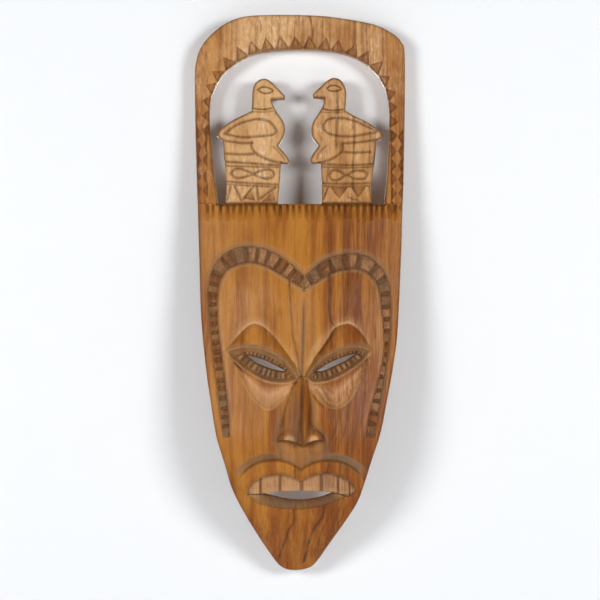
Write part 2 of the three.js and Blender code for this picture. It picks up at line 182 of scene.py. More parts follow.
EYE_RIGHT_CORNER = (37.5, EYE_CORNER)
EYE_LEFT_UPPER = [
    EYE_LEFT_CORNER, (-32.4, 118.8), (-23.5, 119.1), (-14.5, 116.2), (-7.2, 111.5), (-2.8, 106),
    (-0.8, 102.2)]
EYE_LEFT_LOWER = [
    (-0.8, 102.2), (-7.2, 100.4), (-14.5, 100.6), (-20.4, 102.3), (-26.4, 105.5), (-32.4, 109.9),
    (-36.7, 113.5), EYE_LEFT_CORNER]
EYE_RIGHT_LOWER = [
    EYE_RIGHT_CORNER, (32.9, 111.8), (27, 107.3), (19.5, 103.1), (12, 100.7), (6.7, 100.7), (2.8, 103.2)]
EYE_RIGHT_UPPER = [
    (2.8, 103.2), (7.2, 108.8), (12.8, 113.6), (19.5, 117.1), (27, 119.1), (33, 118.9), EYE_RIGHT_CORNER]
SLIT_LEFT = outline(
    [(-28, 114.4), (-23.5, 113.6), (-17.5, 111.5), (-11.6, 108.6), (-7.4, 106.2)],
    [(-7.4, 106.2), (-11.6, 106.7), (-17.5, 108.4), (-23.4, 111), (-28, 114.4)])
SLIT_RIGHT = outline(
    [(8.6, 106.2), (12.3, 106.5), (18, 109), (24, 111.8), (29.2, 115.4)],
    [(29.2, 115.4), (25.7, 114.6), (21, 113), (15, 110.4), (8.6, 106.2)])
BROW_LEFT = [
    (1, 104.5), (-4.1, 112.1), (-9.2, 119), (-14.4, 125.4), (-19.6, 129.8), (-24.7, 131),
    (-29.4, 127.9), (-34.1, 122.7), EYE_LEFT_CORNER]
BROW_RIGHT = [
    (2.6, 104.5), (6.7, 112.1), (12.3, 120.3), (17.5, 128.2), (21.6, 130.5), (26.3, 130.8), (31, 127.4),
    (35.1, 121.7), EYE_RIGHT_CORNER]
SCOOP_LEFT = [
    EYE_LEFT_CORNER, (-33, 108.4), (-29.2, 101), (-25.5, 94.1), (-21.9, 89.8), (-16.8, 86.8),
    (-12.8, 88.3), (-8.7, 92.2), (-5.2, 96)]
SCOOP_RIGHT = [
    EYE_RIGHT_CORNER, (34, 108.3), (30.4, 100.2), (26.7, 93), (22.1, 88.5), (16.9, 87.8), (12.3, 90.1),
    (7.7, 94.7), (4.6, 98.2)]
NOSE_TOP = (1, 103.9)
NOSE_TIP = (1.5, 67.6)
NOSE_LEFT = [
    NOSE_TOP, (-2, 100.6), (-4.4, 97.3), (-6.3, 92.2), (-8.3, 86), (-10, 79.6), (-11.4, 73.4),
    (-11.6, 70)]
NOSE_BASE = [(-11.6, 70), (-5.6, 70.2), (-1.3, 68.8), NOSE_TIP, (4.3, 69), (8.2, 70.2), (12.8, 70)]
NOSE_RIGHT = [
    (12.8, 70), (11.5, 73.7), (8.2, 76.8), (5.9, 80), (5.9, 86), (5.5, 92), (4.6, 98.2), (3.1, 101.9),
    NOSE_TOP]
NOSE_RIDGE = [NOSE_TOP, (0.9, 99.3), (0.2, 75.8), NOSE_TIP]
LIP_PEAK = (0.5, 56)
LIP_TOP_LEFT = [
    (-33, 47.5), (-31, 52), (-28, 55.5), (-22, 59.3), (-15.4, 60.9), (-9, 60.6), (-4, 58.9), LIP_PEAK]
LIP_TOP_RIGHT = [
    LIP_PEAK, (5, 58.9), (11.3, 60.6), (17.8, 60.5), (23.6, 58.9), (29, 55.4), (32.8, 50.5),
    (33.4, 47.5)]
MOUTH_RIGHT = (30, 44)
MOUTH_LEFT = (-27.6, 42)
TEETH_TOP_LEFT = [
    MOUTH_LEFT, (-27.2, 45.2), (-24.9, 48.4), (-20.6, 51), (-16.2, 52.4), (-10.4, 53.1), (-4.6, 52),
    (0.5, 49.8)]
TEETH_TOP_RIGHT = [
    (0.5, 49.8), (5.1, 52), (10.6, 53.4), (15.7, 53.5), (20.7, 51.8), (26.2, 49.1), MOUTH_RIGHT]
TEETH_FOOT = [
    MOUTH_RIGHT, (25, 41.2), (19.4, 42.7), (11.4, 43.9), (-0.5, 44.3), (-10.4, 43.9), (-20.8, 42.3),
    MOUTH_LEFT]
TOOTH_GAPS = [(-20.6, 1.1), (-10.4, 1.3), (0.7, 1.9), (11.2, 1.5), (19.8, 1.0), (25.8, 0.8)]
MOUTH_FOOT = [
    (-19.5, 42.4), (-13, 41), (-6.8, 39.6), (-0.5, 39.1), (5.2, 39.5), (11.5, 40.8), (17.5, 43.1)]
CHIN_EDGE = [
    (26.5, 41.2), (19.3, 38.9), (12, 36.3), (3.3, 34.7), (-5.3, 34.5), (-14, 35.4), (-22.7, 37.7),
    MOUTH_LEFT]

WINDOW = outline(WINDOW_LEFT, WINDOW_RIGHT)
ARCH = np.vstack([spline(WINDOW_LEFT[::-1]), spline([WINDOW_LEFT[0], WINDOW_RIGHT[-1]]),
                  spline(WINDOW_RIGHT[::-1])])
BIRD_FOOT_RUN = 4       # the run of a bird's outline that stands on its plinth
BIRD_LEFT = outline(*BIRD_LEFT_RUNS)
BIRD_RIGHT = outline(*BIRD_RIGHT_RUNS)
PLINTH_LEFT = outline(*PLINTH_LEFT_SIDES)
PLINTH_RIGHT = outline(*PLINTH_RIGHT_SIDES)
BAND_LEFT = outline(BAND_LEFT_OUTER, BAND_LEFT_INNER)
BAND_RIGHT = outline(BAND_RIGHT_OUTER, BAND_RIGHT_INNER)
EYE_LEFT = outline(EYE_LEFT_UPPER, EYE_LEFT_LOWER)
EYE_RIGHT = outline(EYE_RIGHT_LOWER, EYE_RIGHT_UPPER)
NOSE = outline(NOSE_LEFT, NOSE_BASE, NOSE_RIGHT)
TEETH = outline(TEETH_TOP_LEFT, TEETH_TOP_RIGHT, TEETH_FOOT)
UPPER_LIP = outline(LIP_TOP_LEFT, LIP_TOP_RIGHT, TEETH_TOP_RIGHT[::-1], TEETH_TOP_LEFT[::-1])
LOWER_LIP = outline([MOUTH_LEFT], MOUTH_FOOT, CHIN_EDGE)
HOLE = outline(MOUTH_FOOT, [(17.5, 47), (-19.5, 47)])
MOUTH = outline(TEETH_TOP_LEFT, TEETH_TOP_RIGHT, CHIN_EDGE)
FACE = outline(
    BAND_LEFT_INNER, BAND_RIGHT_INNER[::-1], [(FAR, BAND_FOOT)], [(FAR, BELOW)], [(-FAR, BELOW)],
    [(-FAR, BAND_FOOT)])
CHIN = outline([(-FAR, BELOW)], [(FAR, BELOW)], [(FAR, CHIN_EDGE[0][1])], CHIN_EDGE,
               [(-FAR, MOUTH_LEFT[1])])
PHILTRUM_LEFT = [NOSE_BASE[0], (-10.4, 66), (-9, 60.6)]
PHILTRUM_RIGHT = [NOSE_BASE[-1], (13.3, 66), (13.2, 60.6)]
PHILTRUM = outline(
    NOSE_BASE, PHILTRUM_RIGHT, [(13.2, 60.6), (11.3, 60.6), (5, 58.9), LIP_PEAK],
    [LIP_PEAK, (-4, 58.9), (-9, 60.6)], PHILTRUM_LEFT[::-1])
CREASE = [NOTCH_INNER, (1.6, 126), NOSE_TOP]
PHILTRUM_LINE = [NOSE_TIP, LIP_PEAK]

# Cuts between zones that don't follow an outline.
CUTS = [
    CREASE, PHILTRUM_LINE,
    [EYE_LEFT_UPPER[-1], NOSE_TOP], [NOSE_TOP, EYE_RIGHT_UPPER[0]],
    [(-46, EYE_CORNER), EYE_LEFT_CORNER], [EYE_RIGHT_CORNER, (46, EYE_CORNER)],
    [(-FAR, MOUTH_LEFT[1]), MOUTH_LEFT], [CHIN_EDGE[0], (FAR, CHIN_EDGE[0][1])],
    [(-FAR, BAND_FOOT), (-36.2, BAND_FOOT)], [(33.6, BAND_FOOT), (FAR, BAND_FOOT)],
    [(-FAR, MARGIN_TOP), (-45, MARGIN_TOP)], [(45, MARGIN_TOP), (FAR, MARGIN_TOP)],
    [(-FAR, LEDGE), (-43.6, LEDGE)], [(44.6, LEDGE), (FAR, LEDGE)],
    [(-FAR, RAIL_TOP), (-40, RAIL_TOP)], [(40, RAIL_TOP), (FAR, RAIL_TOP)],
]
OUTLINES = [
    MASK, WINDOW, BIRD_LEFT, BIRD_RIGHT, PLINTH_LEFT, PLINTH_RIGHT, BAND_LEFT, BAND_RIGHT, EYE_LEFT,
    EYE_RIGHT, SLIT_LEFT, SLIT_RIGHT, NOSE, TEETH, UPPER_LIP, LOWER_LIP]

# ---- incised lines and chip cuts ----
GROOVES = []    # (line, half width, depth, darkness)
CHIPS = []      # (apex, foot a, foot b, depth at the apex, depth at the foot)
FLUTES = []     # (line from the ledge down, half width, length, depth)


def incise(points, width=1.5, depth=0.7, dark=0.62, loop=False):
    line = spline(points + points[:1] if loop else points, 0.4)
    GROOVES.append((line, width / 2, depth, dark))


def chip(apex, foot_a, foot_b, shallow=0.25, deep=1.2):
    CHIPS.append((np.array(apex, float), np.array(foot_a, float), np.array(foot_b, float), shallow, deep))


def along_line(line, at):
    """The points of a line at these distances along it, and the directions of travel there."""
    reach = travelled(line)
    at = np.clip(at, 0.01, reach[-1] - 0.01)
    step = 0.4
    behind, here, ahead = (np.column_stack([np.interp(at + shift, reach, line[:, k]) for k in (0, 1)])
                           for shift in (-step, 0, step))
    way = ahead - behind
    return here, way / np.hypot(*way.T)[:, None], reach[-1]


def bird_marks():
    """Eye, collar, wing, thigh and belly of each bird, as cut with a V tool."""
    incise([(-22.3, 254.8), (-20.4, 255.9), (-17.6, 256.0), (-14.4, 254.3), (-16.6, 252.9), (-20, 253.1)],
           0.9, 0.6, loop=True)
    incise([(-25.2, 244.9), (-20, 244.2), (-15, 244.9)], 0.9, 0.5)
    incise([(-25.4, 243.2), (-20, 242.9), (-14.2, 243.4)], 0.8, 0.35, 0.35)
    incise([(-40.2, 231.6), (-33.3, 236.2), (-26.2, 238.6), (-20.5, 239.1), (-15.6, 237.2),
            (-12.9, 233.4), (-14.2, 230.9), (-21.5, 230), (-31, 229.6)], loop=True)
    incise([(-40.6, 227.8), (-36, 227.2), (-31, 226.5), (-25.3, 226.4)])
    incise([(-25.5, 227), (-25.6, 224.4), (-24.2, 221.9), (-21.5, 219.6), (-15.8, 217.2), (-9.6, 215.7)])
    incise([(-14.2, 224.4), (-9.8, 220), (-8, 217.2)], 0.8, 0.35, 0.4)
    incise([(-38.8, 220.9), (-31, 220.4), (-24.6, 220.7)])
    incise([(14.2, 255.6), (16.4, 256.9), (19.4, 256.7), (21.8, 255), (18.6, 254), (15.6, 254.2)],
           0.9, 0.6, loop=True)
    incise([(12, 244.6), (17, 243.7), (24.2, 244.4)], 0.9, 0.5)
    incise([(11, 243), (17, 242.5), (24, 243.2)], 0.8, 0.35, 0.35)
    incise([(12.4, 235.8), (14.3, 238.6), (19, 239.8), (24.7, 239.3), (30.4, 237.7), (36.1, 234.9),
            (40.8, 232.9), (36.1, 231.6), (28.5, 230.1), (21.4, 230.1), (15.7, 231.2), (12.7, 233.4)],
           loop=True)
    incise([(40.8, 228.3), (36, 227.6), (30.4, 226.8), (22.8, 226.2)])
    incise([(22.3, 226.4), (22.4, 222.8), (19, 219.2), (14.3, 216.9), (10.6, 215.8)])
    incise([(13.5, 224.6), (10.2, 221), (8.6, 217.6)], 0.8, 0.35, 0.4)
    incise([(22.9, 221.6), (30, 221.4), (37.2, 221.7)])


def plinth_marks():
    """Borders, linked loops and a row of triangles on each plinth."""
    incise([(-40, 216.6), (-30, 216), (-16.7, 214.8), (-10.2, 214.7)])
    incise([(-39.4, 214.4), (-30, 213.9), (-10.4, 213.4)], 0.8, 0.4, 0.55)
    incise([(-36.4, 210.4), (-34.4, 212.6), (-30.8, 212.6), (-24.8, 209.9), (-19.6, 207.7),
            (-15.4, 207.8), (-13.6, 209.9), (-15.4, 212), (-19.6, 212), (-24.8, 209.9),
            (-30.8, 207.9), (-34.4, 208.2)],
           loop=True)
    incise([(-39.2, 206.1), (-30, 205.3), (-10.9, 204.2)])
    incise([(-39.2, 204.6), (-30, 203.9), (-10.9, 202.9)], 0.8, 0.4, 0.55)
    for start, end in (((-36.6, 203.6), (-38.6, 196.2)), ((-34.4, 203.7), (-30.9, 196)),
                       ((-30, 196.4), (-24.3, 203.7)), ((-23, 203.7), (-21.8, 196.2)),
                       ((-20.8, 197), (-13.2, 202.6))):
        incise([start, end])
    chip((-26.2, 203), (-29.4, 197.6), (-23.6, 196.2), 0.15, 0.55)
    chip((-14, 201.4), (-19.6, 196), (-12.8, 196), 0.15, 0.55)
    incise([(11.2, 215.2), (25, 214.6), (39.2, 215.4)])
    incise([(11.4, 213.6), (25, 213.2), (38.6, 213.8)], 0.8, 0.4, 0.55)
    incise([(15, 209.2), (17, 211.6), (20.4, 211.6), (24.6, 209.4), (28.4, 211.6), (33.6, 211.6),
            (35.2, 209.6), (33.6, 207.5), (28.4, 207.6), (24.6, 209.4), (20.4, 206.9), (17, 206.9)],
           loop=True)
    incise([(15.2, 213.4), (14.4, 209), (14.4, 204.6)], 0.8, 0.4, 0.5)
    incise([(11.6, 204.9), (25, 204.7), (37.9, 205.2)])
    incise([(11.6, 203.4), (25, 203.2), (37.9, 203.7)], 0.9, 0.5, 0.6)
    for left, right, low in (((16.2, 202.5), (25.2, 202.5), 196.6), ((27, 202.5), (34.4, 202.5), 197.2)):
        chip(((left[0] + right[0]) / 2, low), left, right, 0.3, 0.9)
    incise([(14.8, 203), (12.3, 196.4)], 0.9, 0.5, 0.6)
    incise([(36.6, 203), (37.4, 197)], 0.9, 0.5, 0.6)
    incise([(25.6, 197.4), (31, 195.6)], 0.7, 0.3, 0.4)


def hoop_chips():
    """Triangular chips round the hoop's inner edge, and raised diamonds down its rails."""
    half = 3.95
    pitch = 7.4
    rng = np.random.default_rng(11)
    total = along_line(ARCH, np.array([0.0]))[2]
    for at in np.arange(40, total - 33, pitch):
        at += rng.uniform(-0.25, 0.25)
        (a, m, b), ways, _ = along_line(ARCH, np.array([at - half, at, at + half]))
        out = np.array([-ways[1][1], ways[1][0]])
        high_up = np.clip((m[1] - 250) / 20, 0, 1)
        length = 4.6 + 2.3 * high_up + rng.uniform(-0.7, 0.5)
        lean = rng.uniform(-0.8, 0.8) * ways[1]
        chip(m + out * length + lean, a - 0.3 * out, b - 0.3 * out, 0.45, 1.3 + 0.7 * high_up)
    half_high = 3.75
    for side, x, low, high, deep in ((1, 51.4, 192.3, 232, 1.15), (-1, -51.8, 202, 236, 0.7)):
        for z in np.arange(low, high, 2 * half_high):
            for way in (-1, 1):
                inner = 2.6 if side > 0 else 2.2 + rng.uniform(-0.4, 0.4)
                drift = 0 if side > 0 else rng.uniform(-0.8, 0.8)
                tip = (x + way * 0.2, z + drift)
                edge = x + way * inner
                chip(tip, (edge, z - 3.4 + drift), (edge, z + 3.4 + drift), 0.1, deep)


def ledge_flutes():
    """A row of short upright gouge cuts along the panel's top edge."""
    rng = np.random.default_rng(5)
    x = -49.0
    while x < 50.5:
        length = 6.2 + rng.uniform(-2.0, 1.4)
        lean = rng.uniform(-0.5, 0.5)
        foot = (x + lean, LEDGE - 0.8 - length)
        FLUTES.append((spline([(x, LEDGE - 0.8), foot], 0.5), 1.15 + rng.uniform(-0.2, 0.2), length,
                       rng.uniform(0.75, 1.1)))
        x += 3.5 + rng.uniform(-0.5, 0.5)


bird_marks()
plinth_marks()
hoop_chips()
ledge_flutes()


# ---- the surface's points and triangles ----
def inside(polygon, points):
    """Which of the points lie inside a closed polygon."""
    order = np.argsort(points[:, 1])
    x, z = points[order].T
    odd = np.zeros(len(points), bool)
    ends = np.roll(polygon, -1, axis=0)
    low = np.searchsorted(z, np.minimum(polygon[:, 1], ends[:, 1]))
    high = np.searchsorted(z, np.maximum(polygon[:, 1], ends[:, 1]))
    for a, b, i, j in zip(polygon, ends, low, high):
        if i < j:
            odd[i:j] ^= x[i:j] < a[0] + (z[i:j] - a[1]) * (b[0] - a[0]) / (b[1] - a[1])
    result = np.zeros(len(points), bool)
    result[order] = odd
    return result


def near(line, points, reach):
    """Each point's distance to a line, up to reach, and how far along the line its nearest point is."""
    distance = np.full(len(points), float(reach))
    travel = np.zeros(len(points))
    close = np.flatnonzero(((points > line.min(0) - reach) & (points < line.max(0) + reach)).all(1))
    px, pz = points[close].T
    best = np.full(len(close), float(reach))
    how_far = np.zeros(len(close))
    begin = travelled(line)
    window = 8
    for first in range(0, len(line) - 1, window):
        part = line[first:first + window + 1]
        low, high = part.min(0) - reach, part.max(0) + reach
        some = np.flatnonzero((pz > low[1]) & (pz < high[1]) & (px > low[0]) & (px < high[0]))
        x, z = px[some], pz[some]
        for k, (a, b) in enumerate(zip(part, part[1:])):
            run = b - a
            size = max(1e-9, float(run @ run))
            t = np.clip(((x - a[0]) * run[0] + (z - a[1]) * run[1]) / size, 0, 1)
            away = np.hypot(x - a[0] - t * run[0], z - a[1] - t * run[1])
            better = away < best[some]
            which = some[better]
            best[which] = away[better]
            how_far[which] = begin[first + k] + t[better] * math.sqrt(size)
    distance[close] = best
    travel[close] = how_far
    return distance, travel


def beside(line, offset):
    """A copy of a line moved sideways."""
    way = np.gradient(line, axis=0)
    way /= np.maximum(np.hypot(*way.T), 1e-9)[:, None]
    return line + offset * np.column_stack([-way[:, 1], way[:, 0]])


def free_points():
    """An even field of points over the mask, with rows of them along every cut."""
    rows = []
    row_gap = STEP * math.sqrt(0.75)
    for k, z in enumerate(np.arange(0.2, HEIGHT, row_gap)):
        xs = np.arange(-57 + (k % 2) * STEP / 2, 57, STEP)
        rows.append(np.column_stack([xs, np.full(len(xs), z)]))
    field = np.vstack(rows)
    keep = np.ones(len(field), bool)
    cuts = []
    for line, half, _, _ in GROOVES:
        keep &= near(line, field, half + 0.2)[0] >= half + 0.15
        cuts += [line, beside(line, half), beside(line, -half)]
    for apex, a, b, _, _ in CHIPS:
        middle = (a + b) / 2
        for foot in (a, b):
            side = spline([apex, foot], 0.4)
            shift = (middle - foot) / np.hypot(*(middle - foot)) * 0.3
            keep &= near(side, field, 0.3)[0] >= 0.28
            cuts += [side, side[1:] + shift]
        cuts.append(spline([a, b], 0.4))
    return np.vstack([field[keep]] + cuts)


lines = [closed(o) for o in OUTLINES] + [spline(cut) for cut in CUTS]
loose = free_points()
for line in lines:
    loose = loose[near(line, loose, 0.3)[0] >= CLEAR_OF_LINES]
loose = loose[inside(MASK, loose)]
fixed = np.vstack(lines)
edges = []
first = 0
for line in lines:
    edges += [(first + i, first + i + 1) for i in range(len(line) - 1)]
    first += len(line)
result = delaunay_2d_cdt([Vector(p) for p in np.vstack([fixed, loose])], edges, [], 0, 1e-4)
P = np.array([tuple(v) for v in result[0]])
TRIANGLES = np.array(result[2])
X, Z = P.T

# ---- zones ----
ZONES = [
    "hoop_arch", "rail_left", "rail_right", "bird_left", "bird_right", "plinth_left", "plinth_right",
    "crown_panel", "margin_left", "margin_right", "bead_band_left", "bead_band_right", "brow_left",
    "brow_right", "eye_left", "eye_right", "cheek_left", "cheek_right", "nose", "upper_lip", "teeth",
    "lower_lip", "chin"]


def zone_of(points):
    """Each point's zone, as its number in ZONES, or -1 where there is no wood."""
    x, z = points.T
    zone = np.select([z < BAND_FOOT, (z < MARGIN_TOP) & (x < 0), z < MARGIN_TOP, z < LEDGE,
                      (z < RAIL_TOP) & (x < 0), z < RAIL_TOP],
                     [-1] + [ZONES.index(n) for n in ("margin_left", "margin_right", "crown_panel",
                                                      "rail_left", "rail_right")], 0)
    middle = [NOSE_TOP, NOSE_TIP, LIP_PEAK, (0.5, 30)]
    left_eye = [(-FAR, EYE_CORNER), EYE_LEFT_CORNER, (-20, 110), (-0.8, 102.2)]
    crease = spline(CREASE)
    left_cheek = np.array(left_eye + middle + [(-FAR, 30)], float)
    left_brow = np.vstack([left_eye, crease[::-1], [(2.1, 180), (-FAR, 180)]])
    in_face = inside(FACE, points)
    upper = z > np.interp(x, [-FAR, -39, -20, -0.8, 1, 2.8, 20, 37.5, FAR],
                          [EYE_CORNER, EYE_CORNER, 110, 102.2, 103.9, 103.2, 110, EYE_CORNER, EYE_CORNER])
    on_left = inside(left_cheek, points) | inside(left_brow, points)
    for name, where in (("brow_left", upper & on_left), ("brow_right", upper & ~on_left),
                        ("cheek_left", ~upper & on_left), ("cheek_right", ~upper & ~on_left),
                        ("chin", inside(CHIN, points))):
        zone[in_face & where] = ZONES.index(name)
    for name, shape in ((None, WINDOW), ("plinth_left", PLINTH_LEFT), ("plinth_right", PLINTH_RIGHT),
                        ("bird_left", BIRD_LEFT), ("bird_right", BIRD_RIGHT),
                        ("bead_band_left", BAND_LEFT), ("bead_band_right", BAND_RIGHT),
                        ("eye_left", EYE_LEFT), ("eye_right", EYE_RIGHT), ("nose", NOSE),
                        ("upper_lip", UPPER_LIP), ("lower_lip", LOWER_LIP), (None, SLIT_LEFT),
                        (None, SLIT_RIGHT), (None, HOLE), ("teeth", TEETH)):
        zone[inside(shape, points)] = ZONES.index(name) if name else -1
    zone[~inside(MASK, points)] = -1
    return zone


triangle_zone = zone_of(P[TRIANGLES].mean(1))


def set_in():
    """Every point a hair inside the first zone it borders, so that an outline falls on one side."""
    wood_there = triangle_zone >= 0
    corners, zones = TRIANGLES[wood_there], triangle_zone[wood_there]
    first_zone = np.full(len(P), len(ZONES))
    for k in range(3):
        np.minimum.at(first_zone, corners[:, k], zones)
    middles = P[corners].mean(1)
    pull = np.zeros((len(P), 2))
    for k in range(3):
        own = first_zone[corners[:, k]] == zones
        np.add.at(pull, corners[own, k], middles[own] - P[corners[own, k]])
    return P + 0.02 * pull / np.maximum(np.hypot(*pull.T), 1e-9)[:, None]


SET_IN = set_in()


# ---- the carved surface ----
def on(shape):
    """Which of the surface's points belong to a shape."""
    return inside(shape, SET_IN)


def away(knots, reach):
    """The surface points' distances, up to reach, to the smooth curve through these knots."""
    return near(spline(knots), P, reach)[0]


def smooth(low, high, value):
    """0 at low and before, 1 at high and past it, and an S curve between them."""
    t = np.clip((value - low) / (high - low), 0, 1)
    return t * t * (3 - 2 * t)


def fade(low, high, value):
    """1 at low and before, 0 at high and past it."""
    return 1 - smooth(low, high, value)


def eased(knots, at):
    """The knots' value at each height, with the bends between them eased."""
    ease = 10
    zs = np.arange(-20, HEIGHT + 21, 1.0)
    values = np.pad(np.interp(zs, *zip(*knots)), ease, mode="edge")
    bell = np.hanning(2 * ease + 1)
    return np.interp(at, zs, np.convolve(values, bell / bell.sum(), "valid"))


def base_height(x, z):
    """The board's bowed front before any carving."""
    side = np.minimum(1, np.abs(x) / eased(HALF, z))
    return eased(EDGE, z) + eased(CROWN, z) * (1 - side ** 2)


def lumps(x, z, wide, high, seed):
    """Soft unevenness from -1 to 1, about wide by high."""
    rng = np.random.default_rng(seed)
    grid = rng.uniform(-1, 1, (int(400 / wide) + 4, int(400 / high) + 4))
    u, v = (x + 100) / wide, (z + 20) / high
    i, j = np.floor(u).astype(int), np.floor(v).astype(int)
    s, t = smooth(0, 1, u - i), smooth(0, 1, v - j)
    low = grid[i, j] * (1 - s) + grid[i + 1, j] * s
    return low * (1 - t) + (grid[i, j + 1] * (1 - s) + grid[i + 1, j + 1] * s) * t


def rounded(distance, radius):
    """How far a rounded edge has fallen, at this distance in from it."""
    inward = np.clip(radius - distance, 0, radius)
    return radius - np.sqrt(radius ** 2 - inward ** 2)


def free_edge(runs):
    """A bird's outline from foot to foot."""
    around = runs[BIRD_FOOT_RUN + 1:] + runs[:BIRD_FOOT_RUN]
    return np.vstack([spline(run)[:-1] for run in around] + [np.array(around[-1][-1:], float)])


class Surface:
    """Relief above the bowed board, and marks for the material, at every point of the front."""

    def __init__(self):
        count = len(P)
        self.relief = np.zeros(count)
        self.dust = np.zeros(count)     # grey dust in the recesses
        self.dark = np.zeros(count)     # painted shade in creases, cuts, grooves, hollows and along edges, and dark wood such as a knot
        self.worn = np.zeros(count)     # rubbed, paler edges, and painted highlights on ridges, rims and slopes that face the lights
        self.streak = np.zeros(count)   # dark grain
        self.pale_wood_and_highlight = np.zeros(count)     # pale wood, as on the birds, and painted highlights on the forehead and brows
        self.pink = np.zeros(count)     # fresh pinkish wood, and pinkish painted highlights on brows, lid rims, under-eye scoops, nostrils and face edges
        self.russet = np.zeros(count)   # redder, darker wood
        self.chipped = np.zeros(count)  # bare cut faces


front = Surface()


def mark(**amounts):
    """Bring these marks up to at least these amounts."""
    for name, amount in amounts.items():
        kept = getattr(front, name)
        np.maximum(kept, amount, out=kept)


def edges_of_board():
    """Rounded edges with painted shade along them, outside and round the birds, the hoop and the mouth.
    """
    birds = (free_edge(BIRD_LEFT_RUNS), free_edge(BIRD_RIGHT_RUNS))
    between_plinths = [(-11.7, LEDGE), (11.5, LEDGE)]
    sides = [(spline(side), 0.8) for side in PLINTH_LEFT_SIDES + PLINTH_RIGHT_SIDES]
    for line, radius in ([(closed(MASK), EDGE_RADIUS), (birds[0], 1.3), (birds[1], 1.3)] + sides
                         + [(spline(between_plinths), 1.2), (spline(MOUTH_FOOT), 0.5)]):
        distance = near(line, P, 3)[0]
        front.relief -= rounded(distance, radius)
        # painted shade along each rounded edge
        mark(dark=0.36 * fade(0.2, 1.6, distance))
    for line in birds:
        # deeper painted shade round the birds
        mark(dark=0.6 * fade(0.4, 1.5, near(line, P, 3)[0]))
    hoop = near(ARCH, P, 3)[0]
    front.relief -= rounded(hoop, 0.6)
    # painted shade round the hoop's inner edge
    mark(dark=0.4 * fade(0.3, 1.6, hoop))


def incised_lines():
    """V cuts along the incised lines, with painted shade in them."""
    for line, half, depth, darkness in GROOVES:
        distance = near(line, P, half + 0.6)[0]
        front.relief -= depth * np.clip(1 - distance / half, 0, 1)
        mark(dark=darkness * fade(0.3 * half, half + 0.45, distance))


def chip_cuts():
    """Three-sided chips that deepen from the apex to the foot, with painted shade in them."""
    wall = 0.35
    for apex, a, b, shallow, deep in CHIPS:
        low, high = np.minimum(apex, np.minimum(a, b)), np.maximum(apex, np.maximum(a, b))
        close = np.flatnonzero(((P > low - 1) & (P < high + 1)).all(1))
        x, z = P[close].T
        inward = np.full(len(close), 99.0)
        for start, end, other in ((apex, a, b), (apex, b, a), (a, b, apex)):
            run = (end - start) / np.hypot(*(end - start))
            turn = 1 if run[0] * (other - start)[1] - run[1] * (other - start)[0] > 0 else -1
            side = turn * (run[0] * (z - start[1]) - run[1] * (x - start[0]))
            if other is not apex:
                inward = np.minimum(inward, side)
            else:
                inward = np.minimum(inward, side + wall + 0.3)
        foot = (a + b) / 2
        along = foot - apex
        t = np.clip(((x - apex[0]) * along[0] + (z - apex[1]) * along[1]) / (along @ along), 0, 1)
        depth = (shallow + (deep - shallow) * t) * smooth(-0.05, wall, inward)
        front.relief[close] -= depth
        cut = smooth(-0.1, 0.5, inward)
        shade = cut * (0.22 + 0.26 * fade(0.3, 1.4, inward) + 0.12 * t)
        front.dark[close] = np.maximum(front.dark[close], shade)
        front.chipped[close] = np.maximum(front.chipped[close], cut)


def flute_cuts():
    """Gouge cuts that run out downwards, with painted shade in the hollow and a rim that is partly rubbed
    and partly a painted highlight.
    """
    for line, half, length, depth in FLUTES:
        distance, down = near(line, P, half + 0.3)
        hollow = np.clip(1 - (distance / half) ** 2, 0, 1) * (1 - 0.75 * down / length)
        hollow *= Z < LEDGE - 0.2
        front.relief -= 1.9 * depth * hollow
        # painted shade in the hollow
        mark(dark=0.6 * smooth(0.1, 0.8, hollow))
        # the rim is partly rubbed and partly a painted highlight
        mark(worn=0.45 * smooth(half - 0.35, half + 0.1, distance) * (distance < half + 0.29)
             * smooth(LEDGE - 6.5, LEDGE - 2, Z) * (Z < LEDGE))


